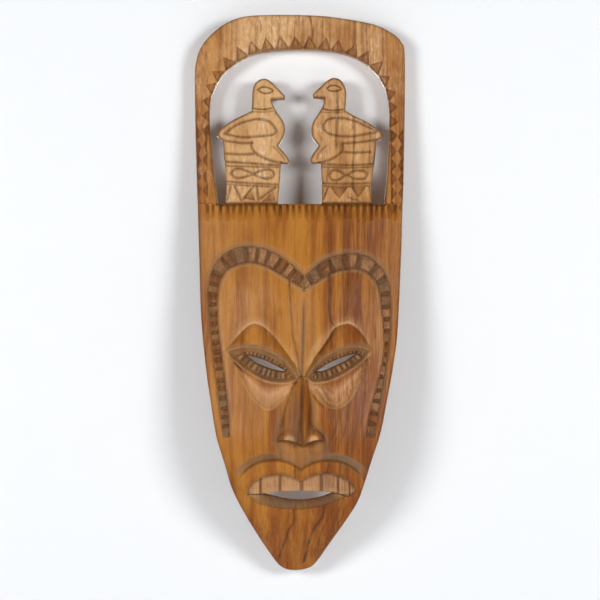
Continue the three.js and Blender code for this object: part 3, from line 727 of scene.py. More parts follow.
def bead_bands():
    """A sunk band round the face, with a row of beads standing in it."""
    rng = np.random.default_rng(3)
    for outer, inner, shape, pitch, high in (
            (BAND_LEFT_OUTER, BAND_LEFT_INNER[::-1], BAND_LEFT, 4.9, 1.5),
            (BAND_RIGHT_OUTER, BAND_RIGHT_INNER[::-1], BAND_RIGHT, 6.2, 1.7)):
        outer_line, inner_line = spline(outer), spline(inner)
        to_outer = near(outer_line, P, 9)[0]
        to_inner, along = near(inner_line, P, 9)
        to_end = away([outer[-1], inner[-1]], 9)
        within = np.where(on(shape), 1.0, 0.0)
        edge = np.minimum(np.minimum(to_outer * 0.6, to_inner), to_end * 0.25)
        sunk = within * smooth(0, 0.75, edge)
        across = to_inner / np.maximum(1e-6, to_inner + to_outer)
        number, u = bead_places(along, across, pitch, rng)
        fill = rng.uniform(0.78, 0.97, MOST_BEADS)[number]
        tilt = rng.uniform(-0.38, 0.38, MOST_BEADS)[number]
        lean = rng.uniform(-0.5, 0.5, MOST_BEADS)[number]
        kind = rng.uniform(0, 1, MOST_BEADS)[number]
        rounding = np.clip(6 * (across - 0.04) * (1.0 - across), 0, 1) ** 0.8
        block = smooth(fill, fill - 0.4, np.abs(u)) * rounding
        facet = 0.78 + tilt * u + lean * (across - 0.5) + 0.2 * lumps(X, Z, 1.3, 1.3, 31)
        bead = block * np.clip(facet, 0.2, 1.2) * sunk
        front.relief += -2.3 * sunk + 1.3 * high * bead
        top = sunk * smooth(0.3, 0.8, block)
        mark(dust=within * smooth(0.0, 0.3, edge) * np.where(kind < 0.4, 0.85, 0.8 - 0.45 * top))
        # painted shade in the gaps between the beads, in the band and on the beads' lower faces
        mark(dark=0.52 * sunk * fade(0.05, 0.8, block))
        mark(dark=within * smooth(0, 0.3, edge) * (0.16 + 0.34 * smooth(0.95, 0.35, facet)))
        # painted highlight on the beads' higher faces; the pink on some beads is their own wood
        mark(worn=0.5 * top * smooth(0.85, 1.1, facet), pink=0.6 * top * (kind > 0.72))
        front.russet += 0.35 * sunk + 0.5 * top * (kind > 0.4) * (kind < 0.72)
        in_face = on(FACE) | (to_inner < 0.01)
        above_foot = smooth(BAND_FOOT + 1, BAND_FOOT + 12, Z)
        front.relief -= 1.2 * in_face * above_foot * rounded(to_inner, 2.2) / 2.2
        # pinkish painted highlight along the face's edge inside the band
        mark(pink=0.5 * in_face * above_foot * fade(0.8, 2.6, to_inner))
        mark(dust=0.45 * in_face * above_foot * fade(0.2, 1.8, to_inner))
        outside = (1 - within) * ~in_face * above_foot
        wide = 1.4 + 1.4 * smooth(145, 160, Z)
        front.relief -= 0.9 * outside * fade(0, wide, to_outer)
        mark(dust=0.7 * outside * fade(0.5 * wide, wide, to_outer))
        # painted shade along the band's outer bevel
        mark(dark=0.3 * outside * fade(0.1, 0.9, to_outer))


MOST_BEADS = 120    # more than a band has


def bead_places(along, across, pitch, rng):
    """Which bead each point belongs to, and where it lies across it from -1 to 1, unevenly spaced."""
    cuts = np.arange(MOST_BEADS) * pitch + rng.uniform(-0.16, 0.16, MOST_BEADS) * pitch
    slant = rng.uniform(-0.9, 0.9, MOST_BEADS)
    skewed = along + slant[np.clip((along / pitch).astype(int), 0, MOST_BEADS - 1)] * (across - 0.5)
    number = np.clip(np.searchsorted(cuts, skewed) - 1, 0, MOST_BEADS - 2)
    return number, 2 * (skewed - cuts[number]) / (cuts[number + 1] - cuts[number]) - 1


def forehead():
    """Two lobes with a V crease between them."""
    crease = spline(CREASE)
    distance = near(crease, P, 12)[0]
    upper = on(FACE) & (Z > 101)
    depth = np.interp(Z, [103, 112, 128, 142, 149], [0.9, 2.0, 2.3, 1.6, 0.9])
    front.relief -= upper * depth * np.clip(1 - distance / 10, 0, 1) ** 1.6 * smooth(101, 104, Z)
    # painted shade in the crease
    mark(dark=upper * 0.62 * fade(0.2, 1.1, distance) * smooth(147, 138, Z))
    mark(dust=upper * 0.4 * fade(0.6, 2.6, distance) * smooth(147, 138, Z))
    # a dark knot in the wood
    mark(dark=upper * 0.3 * np.clip(1 - np.hypot((X + 10) / 2.6, (Z - 136.5) / 3.4), 0, 1))
    for side, x in ((-1, -23), (1, 25)):
        lobe = np.clip(1 - ((X - x) / 21) ** 2 - ((Z - 140) / 24) ** 2, 0, 1)
        front.relief += upper * 0.7 * lobe


def sockets():
    """Under each brow ridge the wood is scooped down to the eye's upper line."""
    for brow, upper_line, corner in ((BROW_LEFT, EYE_LEFT_UPPER, EYE_LEFT_CORNER),
                                     (BROW_RIGHT, EYE_RIGHT_UPPER[::-1], EYE_RIGHT_CORNER)):
        shape = outline(brow, upper_line)
        to_brow = away(brow, 25)
        to_eye = away(upper_line, 25)
        within = on(shape)
        t = to_brow / np.maximum(1e-6, to_brow + to_eye)
        fall = upper_drop(corner)
        front.relief -= within * fall * (1 - (1 - t) ** 1.7)
        side = 1 if corner[0] > 0 else -1
        apex = np.exp(-((X - side * 24) / 8.5) ** 2)
        # painted highlight along the brow ridge's apex, pinkish on the forehead side
        ridge = 0.95 * apex * fade(0.2, 2.1, to_brow)
        mark(worn=ridge * np.where(within, 0.2, 1.0))
        mark(pink=0.8 * apex * fade(0.4, 5, to_brow) * ~within)
        front.relief += 0.35 * fade(0, 3.2, to_brow) * apex
        # painted shade under the brow ridge and along the eye's upper line; the grey there is dust
        mark(dark=0.3 * within * fade(0.1, 2.6, to_brow) * smooth(109, 116, Z))
        mark(dust=0.7 * within * fade(0.2, 2.4, to_eye), dark=0.4 * within * fade(0.5, 1.3, to_eye))
        # painted highlight on the brow's inner slope, stronger on the right
        brow_slope_highlight = ~within * fade(0.5, 4.5, to_brow) * smooth(105, 112, Z) * smooth(130, 122, Z)
        mark(worn=(0.75 if side > 0 else 0.45) * brow_slope_highlight * (np.abs(X - 1) < 18))


def corner_taper(corner, reach):
    return smooth(0, reach, np.hypot(X - corner[0], Z - corner[1]))


def upper_drop(corner):
    inner = (1, 103.5)
    return 5.2 * corner_taper(corner, 12) * (0.3 + 0.7 * corner_taper(inner, 9))


def lower_drop(corner):
    return 1.3 * corner_taper(corner, 12)


def eyes():
    """Each eye slopes in to a slit, between two rows of small teeth cut across the slope."""
    for upper_line, lower_line, shape, slit, corner in (
            (EYE_LEFT_UPPER, EYE_LEFT_LOWER, EYE_LEFT, SLIT_LEFT, EYE_LEFT_CORNER),
            (EYE_RIGHT_UPPER, EYE_RIGHT_LOWER, EYE_RIGHT, SLIT_RIGHT, EYE_RIGHT_CORNER)):
        to_upper, along_upper = near(spline(upper_line), P, 20)
        to_lower, along_lower = near(spline(lower_line), P, 20)
        to_slit = near(closed(slit), P, 20)[0]
        within = on(shape)
        edge = np.minimum(to_upper, to_lower)
        lid = (upper_drop(corner) * to_lower + lower_drop(corner) * to_upper) / np.maximum(
            1e-6, to_upper + to_lower)
        t = edge / np.maximum(1e-6, edge + to_slit)
        wide = np.clip((edge + to_slit) / 4, 0, 1)
        along = np.where(to_upper < to_lower, along_upper, along_lower)
        above = to_upper < to_lower
        pitch = np.where(above, 2.5, 3.1)
        most = 40
        number = np.floor(along / pitch).astype(int) % most
        rng = np.random.default_rng(17)
        depth = rng.uniform(0.55, 1.1, most)[number]
        u = np.abs(2 * (along / pitch % 1) - 1 + rng.uniform(-0.2, 0.2, most)[number])
        start = np.where(above, 0.5, 0.3)
        tooth = np.clip(1 - (u / 0.88) ** 2.4, 0, 1) ** 0.7
        tooth = tooth * smooth(0, 0.14, t - start) * smooth(1.0, 0.88, t) * (wide * depth)
        floor = smooth(start - 0.08, start + 0.16, t)
        front.relief -= within * (lid + 1.5 * wide * smooth(0, 0.3, t) + 1.2 * wide * t
                                  + 1.0 * wide * floor - 1.5 * tooth)
        mark(dust=within * 0.85 * smooth(0.5, 1.3, edge) * smooth(0.0, 0.2, t))
        # painted shade on the eye's floor, beside the slit and down the slope
        mark(dark=within * 0.7 * floor * (1 - 0.85 * smooth(0.1, 0.8, tooth)))
        mark(dark=within * 0.75 * fade(0.3, 1.3, to_slit))
        mark(dark=within * 0.3 * smooth(0.9, 1.6, edge) * smooth(3.2, 2.0, edge))
        # pinkish painted highlight along the raised lid rim, with dust
        rim = fade(0.2, 0.9, edge) * corner_taper(corner, 3)
        mark(worn=0.65 * rim, dust=0.4 * rim, pink=0.8 * rim)
        front.relief += 0.35 * rim
        reddish = rng.uniform(0, 1, most)[number]
        mark(pink=within * smooth(0.3, 0.9, tooth) * np.where(above, 0.3, 0.9) * (reddish < 0.55))
        front.russet += 0.6 * within * smooth(0.3, 0.9, tooth) * (reddish > 0.7)


def cheeks():
    """The cheeks are scooped under the eyes, and fall to the nose, the philtrum and the lip."""
    for scoop, lower_line, corner in ((SCOOP_LEFT, EYE_LEFT_LOWER, EYE_LEFT_CORNER),
                                      (SCOOP_RIGHT, EYE_RIGHT_LOWER[::-1], EYE_RIGHT_CORNER)):
        shape = outline(scoop, lower_line)
        to_scoop = away(scoop, 20)
        to_eye = away(lower_line, 20)
        within = on(shape)
        t = to_eye / np.maximum(1e-6, to_eye + to_scoop)
        deep = 3.0 * corner_taper(corner, 14) * corner_taper(scoop[-1], 8)
        front.relief -= within * (lower_drop(corner) * (1 - t) + deep * np.sin(np.pi * t ** 1.25))
        # pale, pinkish painted highlight on the scoop under each eye
        scoop_highlight = within * corner_taper(corner, 16) * smooth(0.05, 0.55, t)
        mark(pink=0.9 * scoop_highlight * (1 - 0.4 * smooth(0.88, 1, t)))
        # painted highlight along the scoop's rim
        rim = fade(0.2, 1.3, to_scoop) * corner_taper(corner, 16) * corner_taper(scoop[-1], 6)
        mark(worn=0.75 * rim * smooth(106, 98, Z))
        front.relief += 0.3 * rim
        # more painted highlight on the scoop's upper part
        mark(worn=0.6 * scoop_highlight * smooth(0.45, 0.9, t) * (0.7 + 0.3 * lumps(X, Z, 5, 3, 41)))
        mark(dust=0.5 * within * fade(0.6, 2.2, to_eye) * smooth(0.3, 0.9, to_eye))
    below = on(FACE) & (Z < 104)
    for shape in (NOSE, PHILTRUM, MOUTH, UPPER_LIP):
        below &= ~on(shape)
    sides = [spline(NOSE_LEFT), spline(NOSE_RIGHT), spline(PHILTRUM_LEFT), spline(PHILTRUM_RIGHT)]
    to_nose = np.min([near(line, P, 8)[0] for line in sides], axis=0)
    fall = crease_drop() * np.clip(1 - to_nose / 7, 0, 1) ** 1.5
    to_lip = np.minimum(away(LIP_TOP_LEFT, 6), away(LIP_TOP_RIGHT, 6))
    bevel = lip_drop() * fade(0.4, 4.0, to_lip)
    front.relief -= below * np.maximum(fall, bevel)
    near_lip = smooth(0.3, 1.5, lip_drop())
    mark(dust=1.1 * below * fade(2.6, 4.6, to_lip) * near_lip)
    # painted shade along the lip's top edge and beside the nose
    mark(dark=below * (0.5 * fade(0.1, 1.0, to_lip) + 0.08 * fade(1.5, 4.5, to_lip)) * near_lip)
    mark(dark=below * 0.32 * fade(0.2, 1.8, to_nose))
    mark(dust=below * 0.7 * fade(0.5, 3.4, to_nose) * smooth(98, 84, Z))


def crease_drop():
    return np.interp(Z, [56, 60.6, 70, 90, 103.9], [1.9, 1.9, 2.5, 2.3, 0.9])


def lip_drop():
    tapers = corner_taper(LIP_TOP_LEFT[0], 14) * corner_taper(LIP_TOP_RIGHT[-1], 14)
    return 1.9 * tapers


def nose():
    """Two long facets that meet at a sharp ridge, a nostril's wing on each side, and a cut-off base."""
    within = on(NOSE)
    side = np.minimum(away(NOSE_LEFT, 16), away(NOSE_RIGHT, 16))
    ridge_line = away(NOSE_RIDGE, 16)
    t = side / np.maximum(1e-6, side + ridge_line)
    ridge = np.interp(Z, [67, 69, 73, 90, 103.9], [4.8, 5.6, 5.6, 3.2, -0.6])
    drop = crease_drop()
    height = -drop + (ridge + drop) * t ** 0.9
    for x, wide in ((-6.7, 4.7), (8.0, 4.5)):
        reach = np.hypot((X - x) / wide, (Z - 70.6) / 5.6)
        wing = -drop + 3.9 * np.clip(1 - reach ** 2, 0, 1) ** 0.7
        groove = np.exp(-((reach - 1.05) / 0.22) ** 2) * (Z > 69)
        height = np.maximum(height - 0.6 * groove, wing)
        # painted shade in the groove round each wing, with dust
        mark(dark=within * 0.26 * groove, dust=within * 0.6 * groove)
        inner = np.hypot((X - x - (1.2 if x < 0 else -1.0)) / 3.2, (Z - 71.2) / 3.1)
        # pinkish painted highlight on each wing, partly rubbed wood
        mark(pink=within * 1.2 * fade(0.35, 1.05, inner), worn=within * fade(0.2, 0.9, inner))
    base = away(NOSE_BASE, 4)
    rise = smooth(0, 1.0, base)
    front.relief += within * (-drop + (height + drop) * rise)
    # painted shade under the nose's base and along its sides near the top; the line on the ridge is dark
    # wood
    mark(dark=0.62 * fade(0.2, 1.5, base))
    mark(dark=within * 0.4 * fade(0.1, 1.3, side) * smooth(103, 99, Z))
    mark(dark=within * 0.6 * fade(0.2, 1.2, ridge_line) * smooth(103, 96, Z) * smooth(66, 70, Z))
    mark(streak=within * 0.5 * fade(0.3, 1.5, np.abs(X - 1.2)) * (Z > 67))
    mark(streak=within * 0.45 * fade(0.4, 1.7, np.abs(X - 4.9)) * (Z > 76))
    mark(dust=within * 0.6 * smooth(-10, -4, X) * smooth(1, -2, X) * smooth(100, 90, Z))
    mark(dust=within * 0.5 * fade(0.5, 3, side) * smooth(82, 76, Z))


def philtrum():
    """The sunk wood between the nose and the upper lip."""
    within = on(PHILTRUM)
    edge = near(closed(PHILTRUM), P, 4)[0]
    middle = 0.8 * fade(0, 4.5, np.abs(X - 1)) - 0.9 * np.clip(
        1 - ((np.abs(X - 1.2) - 7) / 4) ** 2 - ((Z - 66.4) / 3.2) ** 2, 0, 1)
    front.relief -= within * (crease_drop() + middle * smooth(0, 1.2, edge))
    lip_side = np.minimum(away(LIP_TOP_LEFT, 6), away(LIP_TOP_RIGHT, 6))
    mark(dust=within * (0.45 + 0.5 * fade(2, 5, lip_side)))
    # painted shade along the edges and down the middle groove
    mark(dark=within * 0.2 * fade(0.1, 1.4, edge))
    mark(dark=within * 0.16 * fade(1, 5, np.abs(X - 1)))


def mouth():
    """A full upper lip over a row of teeth, and a lower lip that slopes in to the opening."""
    to_top = np.minimum(away(LIP_TOP_LEFT, 16), away(LIP_TOP_RIGHT, 16))
    to_teeth = np.minimum(away(TEETH_TOP_LEFT, 16), away(TEETH_TOP_RIGHT, 16))
    lip = on(UPPER_LIP)
    drop = lip_drop()
    under = 0.5 * smooth(0, 5, np.minimum(np.hypot(X - MOUTH_LEFT[0], Z - MOUTH_LEFT[1]),
                                          np.hypot(X - MOUTH_RIGHT[0], Z - MOUTH_RIGHT[1])))
    full = -drop + (drop + 0.75) * smooth(0, 1.5, to_top)
    front.relief += lip * (full - (0.75 + under) * fade(0, 1.6, to_teeth))
    # painted shade along the lip's top edge, and a painted highlight on its crest
    mark(dark=lip * 0.5 * fade(0.1, 1.0, to_top) * smooth(0.3, 1.5, drop))
    mark(worn=lip * 0.4 * fade(0.6, 1.8, to_top) * smooth(0.2, 0.6, to_top))
    for x, dark in ((-2.6, 0.8), (14.4, 0.9), (20.9, 0.8), (24.0, 0.4)):
        mark(streak=lip * dark * fade(0.15, 0.75, np.abs(X - x - 0.15 * np.sin(Z))))
    teeth = on(TEETH)
    sunk = smooth(0, 0.6, to_teeth)
    gap = np.ones(len(P))
    for x, wide in TOOTH_GAPS:
        lean = 0.03 * (Z - 47) * (1 if x > 0 else -1)
        gap = np.minimum(gap, smooth(0.2 * wide, 0.75 * wide, np.abs(X - x + lean)))
    foot = away(TEETH_FOOT, 6)
    pillow = smooth(0, 2.2, foot) * 0.4
    front.relief -= teeth * (under + sunk * (1.9 + 0.45 * (1 - gap) - pillow * gap))
    # painted shade between the teeth and under the lip
    mark(dark=teeth * np.maximum(0.24 * (1 - gap), 0.36 * fade(0.3, 2.2, to_teeth)))
    mark(dust=teeth * (0.35 + 0.4 * (1 - gap) + 0.4 * fade(0.6, 2.6, to_teeth)))
    mark(pink=teeth * gap * (0.75 + 0.25 * fade(1.0, 3.6, foot)))
    front.russet += teeth * 0.5 * (1 - gap)
    # the rub on the teeth is partly wear and partly painted highlight
    mark(worn=teeth * gap * 0.5 * fade(1.0, 3.0, foot) * smooth(0.3, 0.9, foot))
    lower = on(LOWER_LIP)
    to_chin = away(CHIN_EDGE, 16)
    hole = spline([MOUTH_LEFT] + MOUTH_FOOT + [CHIN_EDGE[0]])
    to_hole = near(hole, P, 16)[0]
    t = to_chin / np.maximum(1e-6, to_chin + to_hole)
    corners = corner_taper(MOUTH_LEFT, 9) * corner_taper(CHIN_EDGE[0], 9)
    front.relief -= lower * 4.4 * corners * t ** 0.9
    open_part = smooth(-25, -17, X) * smooth(22, 15, X)
    mark(dust=lower * smooth(0, 0.2, t) * (0.5 + 0.5 * open_part))
    # painted shade over the lower lip, deepest at the opening, with a painted shadow in its left corner
    mark(dark=lower * (0.18 + 0.24 * open_part + 0.3 * open_part * smooth(0.3, 1, t)))
    mark(dark=lower * (0.35 + 0.35 * open_part) * fade(0.2, 2.0, to_hole))
    mark(dark=0.6 * lower * np.clip(1 - np.hypot((X + 18.5) / 4, (Z - 41) / 3), 0, 1))
    # pale painted highlight at the lower lip's corners
    mark(pink=lower * (1 - open_part) * smooth(0.3, 0.8, t))
    mark(worn=0.8 * lower * (1 - open_part) * smooth(0.3, 0.8, t))


STREAKS = [
    ([(-3.6, 34.4), (-3.0, 30.5), (-3.3, 27.4), (-6.1, 23), (-7.4, 18), (-9.9, 11), (-11, 7)], 0.5, 0.95),
    ([(12.6, 36), (11.7, 30.5), (7.4, 23.8), (5.5, 19), (3.6, 11), (2, 5)], 0.75, 1.0),
    ([(20.2, 35), (17, 24.6), (13.8, 17.5)], 0.8, 0.6),
    ([(-5.5, 154), (-4.8, 138.5), (-4, 126.3), (-1.8, 117.4), (-0.5, 108.2), (0.6, 104)], 0.45, 0.85),
    ([(15.2, 156), (15.7, 148.6), (15.0, 140.8), (16.5, 132), (18.6, 129.5), (16.6, 125), (13.6, 120),
      (10, 115.5)], 0.8, 0.85),
    ([(22.6, 158), (22.3, 150), (23.8, 139), (22.8, 131)], 0.7, 0.45),
    ([(27.8, 158), (27, 146), (28.6, 134), (30, 127)], 0.9, 0.4),
    ([(32, 157), (31.5, 141), (33.8, 122), (33.2, 118)], 0.9, 0.4),
    ([(19.7, 254), (19.9, 243), (19.3, 233), (19.2, 225)], 0.75, 0.85),
    ([(28.2, 241), (28.6, 228), (27.8, 212), (27.6, 196)], 0.6, 0.65),
    ([(36.6, 236), (36.9, 222), (36.2, 210)], 0.6, 0.55),
    ([(5, 294), (6.6, 287), (6.3, 281)], 0.5, 0.8),
    ([(29, 291), (28.6, 283), (28.2, 276)], 0.5, 0.7),
    ([(22.6, 88), (20.8, 82), (21.8, 76), (18.6, 71), (16.6, 64)], 0.6, 0.6),
    ([(27, 96), (24.6, 86), (24.2, 78), (20.4, 70), (18.6, 62)], 0.9, 0.55),
    ([(32.6, 116), (31.8, 98), (30.6, 84), (27.6, 70), (25.8, 60)], 1.0, 0.5),
    ([(29.4, 92), (27.8, 78), (24.8, 68), (23.2, 58), (22.6, 50)], 0.9, 0.4),
    ([(24, 58), (23.4, 46), (19.8, 30), (15, 20)], 0.7, 0.4),
    ([(-32, 152), (-31, 140), (-32.5, 130)], 1.2, 0.3),
    ([(24.8, 157), (25.4, 148), (24.6, 138)], 0.4, 0.7),
    ([(30.2, 158), (29.6, 149), (30.6, 140), (29.8, 133)], 0.4, 0.6),
    ([(38.8, 150), (38.2, 136), (39.2, 124)], 0.9, 0.4),
    ([(35, 112), (34, 98), (32.6, 86), (30.6, 76)], 0.5, 0.55),
    ([(14, 66), (17.4, 74), (19.6, 82), (20.4, 88)], 0.5, 0.6),
    ([(16.2, 34), (13.6, 27), (10.8, 21), (9.4, 14)], 0.5, 0.5),
    ([(25, 37), (21.4, 29), (17, 21), (13.4, 14)], 0.6, 0.45),
    ([(42, 186), (42.6, 176), (41.8, 166)], 0.5, 0.45),
    ([(47, 188), (46.4, 174), (47.2, 160)], 0.5, 0.45),
    ([(36.4, 187), (36.8, 178), (36.2, 171)], 0.4, 0.4),
]


def grain_streaks():
    """Dark streaks of heartwood, four of them opened into fine cracks."""
    for points, half, darkness in STREAKS:
        distance = away(points, half + 1.2)
        uneven = 0.75 + 0.3 * lumps(X, Z, 2.5, 4, 43)
        mark(streak=darkness * uneven * fade(0.25 * half, half + 0.5, distance))
    cracks = {0: 0.3, 1: 0.35, 3: 0.35, 4: 0.4}
    for number, depth in cracks.items():
        distance = away(STREAKS[number][0], 1.2)
        front.relief -= depth * fade(0.1, 0.8, distance)


def knife_marks():
    """Small curved slips of the knife under the right eye."""
    for points in (
            [(8.6, 97), (11, 94), (13.2, 90.4), (16.5, 88)], [(11, 98), (13.6, 94.6), (15.6, 91.4)],
            [(14, 97.4), (17.5, 95)], [(6.8, 94), (9, 90.8), (12, 88)]):
        distance = away(points, 1)
        front.relief -= 0.4 * fade(0.1, 0.7, distance)
        # painted shade in each slip
        mark(dark=0.38 * fade(0.2, 0.9, distance))


def panel():
    """The panel's top is cut back under the birds' plinths, and the left rail has a bevelled inner strip.
    """
    for start, end in ((-43.6, -11.7), (11.5, 44.6)):
        distance = away([(start, LEDGE), (end, LEDGE)], 2.5)
        front.relief -= 0.9 * fade(0.2, 1.2, distance)
        # painted shade under the ledge where the plinths stand
        mark(dark=0.7 * fade(0.4, 1.8, distance))
    above = 165
    front.relief -= 0.9 * smooth(LEDGE - 8, LEDGE, Z) * (Z < LEDGE + 0.01) * (Z > above)
    rail = away(WINDOW_LEFT[-5:], 4)
    strip = np.interp(Z, [196, 240], [3.0, 1.2])
    bevel = fade(0, 1, rail / strip) * (Z < 250) * (X < -40) * (Z > LEDGE)
    front.relief -= 0.9 * bevel


def wood_tones():
    """Where the wood is pale, golden or russet, painted highlights on the forehead and brows, and the
    hand-made unevenness.
    """
    on_rail = smooth(41, 45, np.abs(X)) * smooth(262, 246, Z) * (Z > LEDGE)
    front.pale_wood_and_highlight[:] = smooth(LEDGE - 0.5, LEDGE + 0.5, Z) * (1 - 0.8 * on_rail) * (1 - 0.35 * front.chipped)
    front.pale_wood_and_highlight *= np.interp(Z, [194, 216, 230, 262, 285], [0.75, 0.85, 1.0, 0.9, 0.95])
    front.pale_wood_and_highlight *= 1 - 0.62 * smooth(32, 50, np.abs(X)) * smooth(250, 262, Z)
    front.pale_wood_and_highlight *= 1 - 0.2 * (X > 3) * (Z < 262)
    # painted highlight on the left forehead lobe
    front.pale_wood_and_highlight += 0.25 * np.exp(-((X + 24) / 9) ** 2 - ((Z - 147) / 13) ** 2) * on(FACE)
    front.pale_wood_and_highlight += 0.15 * smooth(-36, -50, X) * smooth(165, 180, Z) * (Z < LEDGE)
    # painted highlights along the brows' inner slopes
    for x, z, run, rise, amount in ((8.6, 120, 0.5, 0.87, 0.55), (-1.6, 110, -0.35, 0.94, 0.4)):
        along, across = (X - x) * run + (Z - z) * rise, (X - x) * rise - (Z - z) * run
        front.pale_wood_and_highlight += amount * np.exp(-(along / 6) ** 2 - (across / 1.5) ** 2)
    below_birds = 1 - smooth(165, 200, Z)
    face_right = smooth(2, 32, X) * below_birds
    front.russet += 0.26 + 0.54 * face_right + 0.4 * smooth(50, 15, Z) + 0.22 * on_rail
    front.russet += 0.2 * smooth(0, 16, X) * below_birds * smooth(120, 90, Z)
    front.russet += (0.12 * smooth(-44, -50, X) * below_birds
                     + 0.15 * smooth(155, 190, Z) * smooth(0, 20, X))
    front.russet += 0.3 * on(NOSE)
    front.russet += 0.35 * front.chipped
    front.russet -= 0.25 * (Z > LEDGE) * (Z < 262) * smooth(46, 44, np.abs(X))
    front.relief += 0.16 * lumps(X, Z, 8, 15, 21) + 0.07 * lumps(X, Z, 2.6, 7, 22)


edges_of_board()
incised_lines()
chip_cuts()
flute_cuts()
bead_bands()
forehead()
sockets()
eyes()
cheeks()
nose()
philtrum()
mouth()
grain_streaks()
knife_marks()
panel()
wood_tones()
front_height = base_height(X, Z) + front.relief


def back_height():
    """The hollowed back with the gouge's scallops, flat where it bears on the wall."""
    plain = base_height(X, Z) - eased(THICKNESS, Z)
    column = np.floor(X / GOUGE_WIDTH)
    u = X / GOUGE_WIDTH - column - 0.5
    v = (Z / GOUGE_LENGTH + 0.37 * column) % 1 - 0.5
    scallop = 0.55 * (4 * u * u) + 0.35 * (4 * v * v)
    return np.maximum(0, plain - scallop * smooth(0, 2, plain) + 0.3 * lumps(X, Z, 12, 30, 23))


back = np.maximum(np.minimum(back_height(), front_height - LEAST_THICKNESS), 0)


# ---- one closed mesh for each zone ----
def place(x, h, z):
    return np.column_stack([x * MM, WALL_Y - h * MM, LOW_Z + z * MM])


def piece(name):
    tris = TRIANGLES[triangle_zone == ZONES.index(name)]
    used, flat = np.unique(tris, return_inverse=True)
    tris = flat.reshape(-1, 3)
    a, b, c = (P[used][tris[:, k]] for k in range(3))
    turn = (b - a)[:, 0] * (c - a)[:, 1] - (b - a)[:, 1] * (c - a)[:, 0]
    tris[turn < 0] = tris[turn < 0][:, ::-1]
    count = len(used)
    sides = np.vstack([tris[:, [0, 1]], tris[:, [1, 2]], tris[:, [2, 0]]])
    keys = sides[:, 0] * count + sides[:, 1]
    rim = sides[~np.isin(keys, sides[:, 1] * count + sides[:, 0])]
    walls = np.vstack([np.column_stack([rim[:, 0], rim[:, 0] + count, rim[:, 1] + count]),
                       np.column_stack([rim[:, 0], rim[:, 1] + count, rim[:, 1]])])
    faces = np.vstack([tris, tris[:, ::-1] + count, walls])
    points = np.vstack([place(X[used], front_height[used], Z[used]), place(X[used], back[used], Z[used])])
    mesh = bpy.data.meshes.new(name + "_wood")
    mesh.vertices.add(len(points))
    mesh.vertices.foreach_set("co", points.ravel())
    mesh.loops.add(faces.size)
    mesh.loops.foreach_set("vertex_index", faces.ravel().astype(np.int32))
    mesh.polygons.add(len(faces))
    mesh.polygons.foreach_set("loop_start", np.arange(0, faces.size, 3, dtype=np.int32))
    mesh.polygons.foreach_set("use_smooth", np.ones(len(faces), bool))
    mesh.update(calc_edges=True)
    mesh.validate()
    mesh.set_sharp_from_angle(angle=math.radians(SHARP_ANGLE))
    for title, parts in (("marks", (front.dust, front.dark, front.worn)),
                         ("figure", (front.streak, front.pale_wood_and_highlight, front.pink)),
                         ("tones", (front.russet,))):
        colours = np.zeros((2 * count, 4), np.float32)
        colours[:, 3] = 1
        for k, part in enumerate(parts):
            colours[:count, k] = part[used]
        if title == "figure":
            colours[count:, 1] = 0.6 * smooth(170, 225, Z[used])
        if title == "tones":
            colours[count:, 0] = 0.4 + 0.3 * smooth(60, 10, Z[used])
        mesh.attributes.new(title, "FLOAT_COLOR", "POINT").data.foreach_set("color", colours.ravel())
    obj = bpy.data.objects.new(name + "_wood", mesh)
    bpy.context.scene.collection.objects.link(obj)
    return obj


# ---- wood ----
def colour(red, green, blue):
    """A linear colour from one as seen on a screen, 0 to 255."""
    def linear(value):
        share = value / 255
        return share / 12.92 if share <= 0.04045 else ((share + 0.055) / 1.055) ** 2.4
    return (linear(red), linear(green), linear(blue), 1)


GOLDEN = colour(180, 117, 40)
RUSSET = colour(132, 68, 12)
PALE = colour(220, 176, 124)
TAN = colour(168, 116, 64)
# colour of pinkish wood and of the pinkish painted highlights
PINK_AND_HIGHLIGHT = colour(208, 158, 114)
DUST = colour(134, 110, 84)
# colour of the painted shade, and of a dark knot
SHADE_AND_DARK_WOOD_BROWN = colour(70, 40, 18)
STREAK = colour(92, 47, 14)
HEART = colour(72, 38, 14)
# colour of rubbed wood and light flecks, and of the painted highlights
RUBBED_AND_HIGHLIGHT = colour(210, 162, 108)
CHALKY = colour(226, 206, 184)


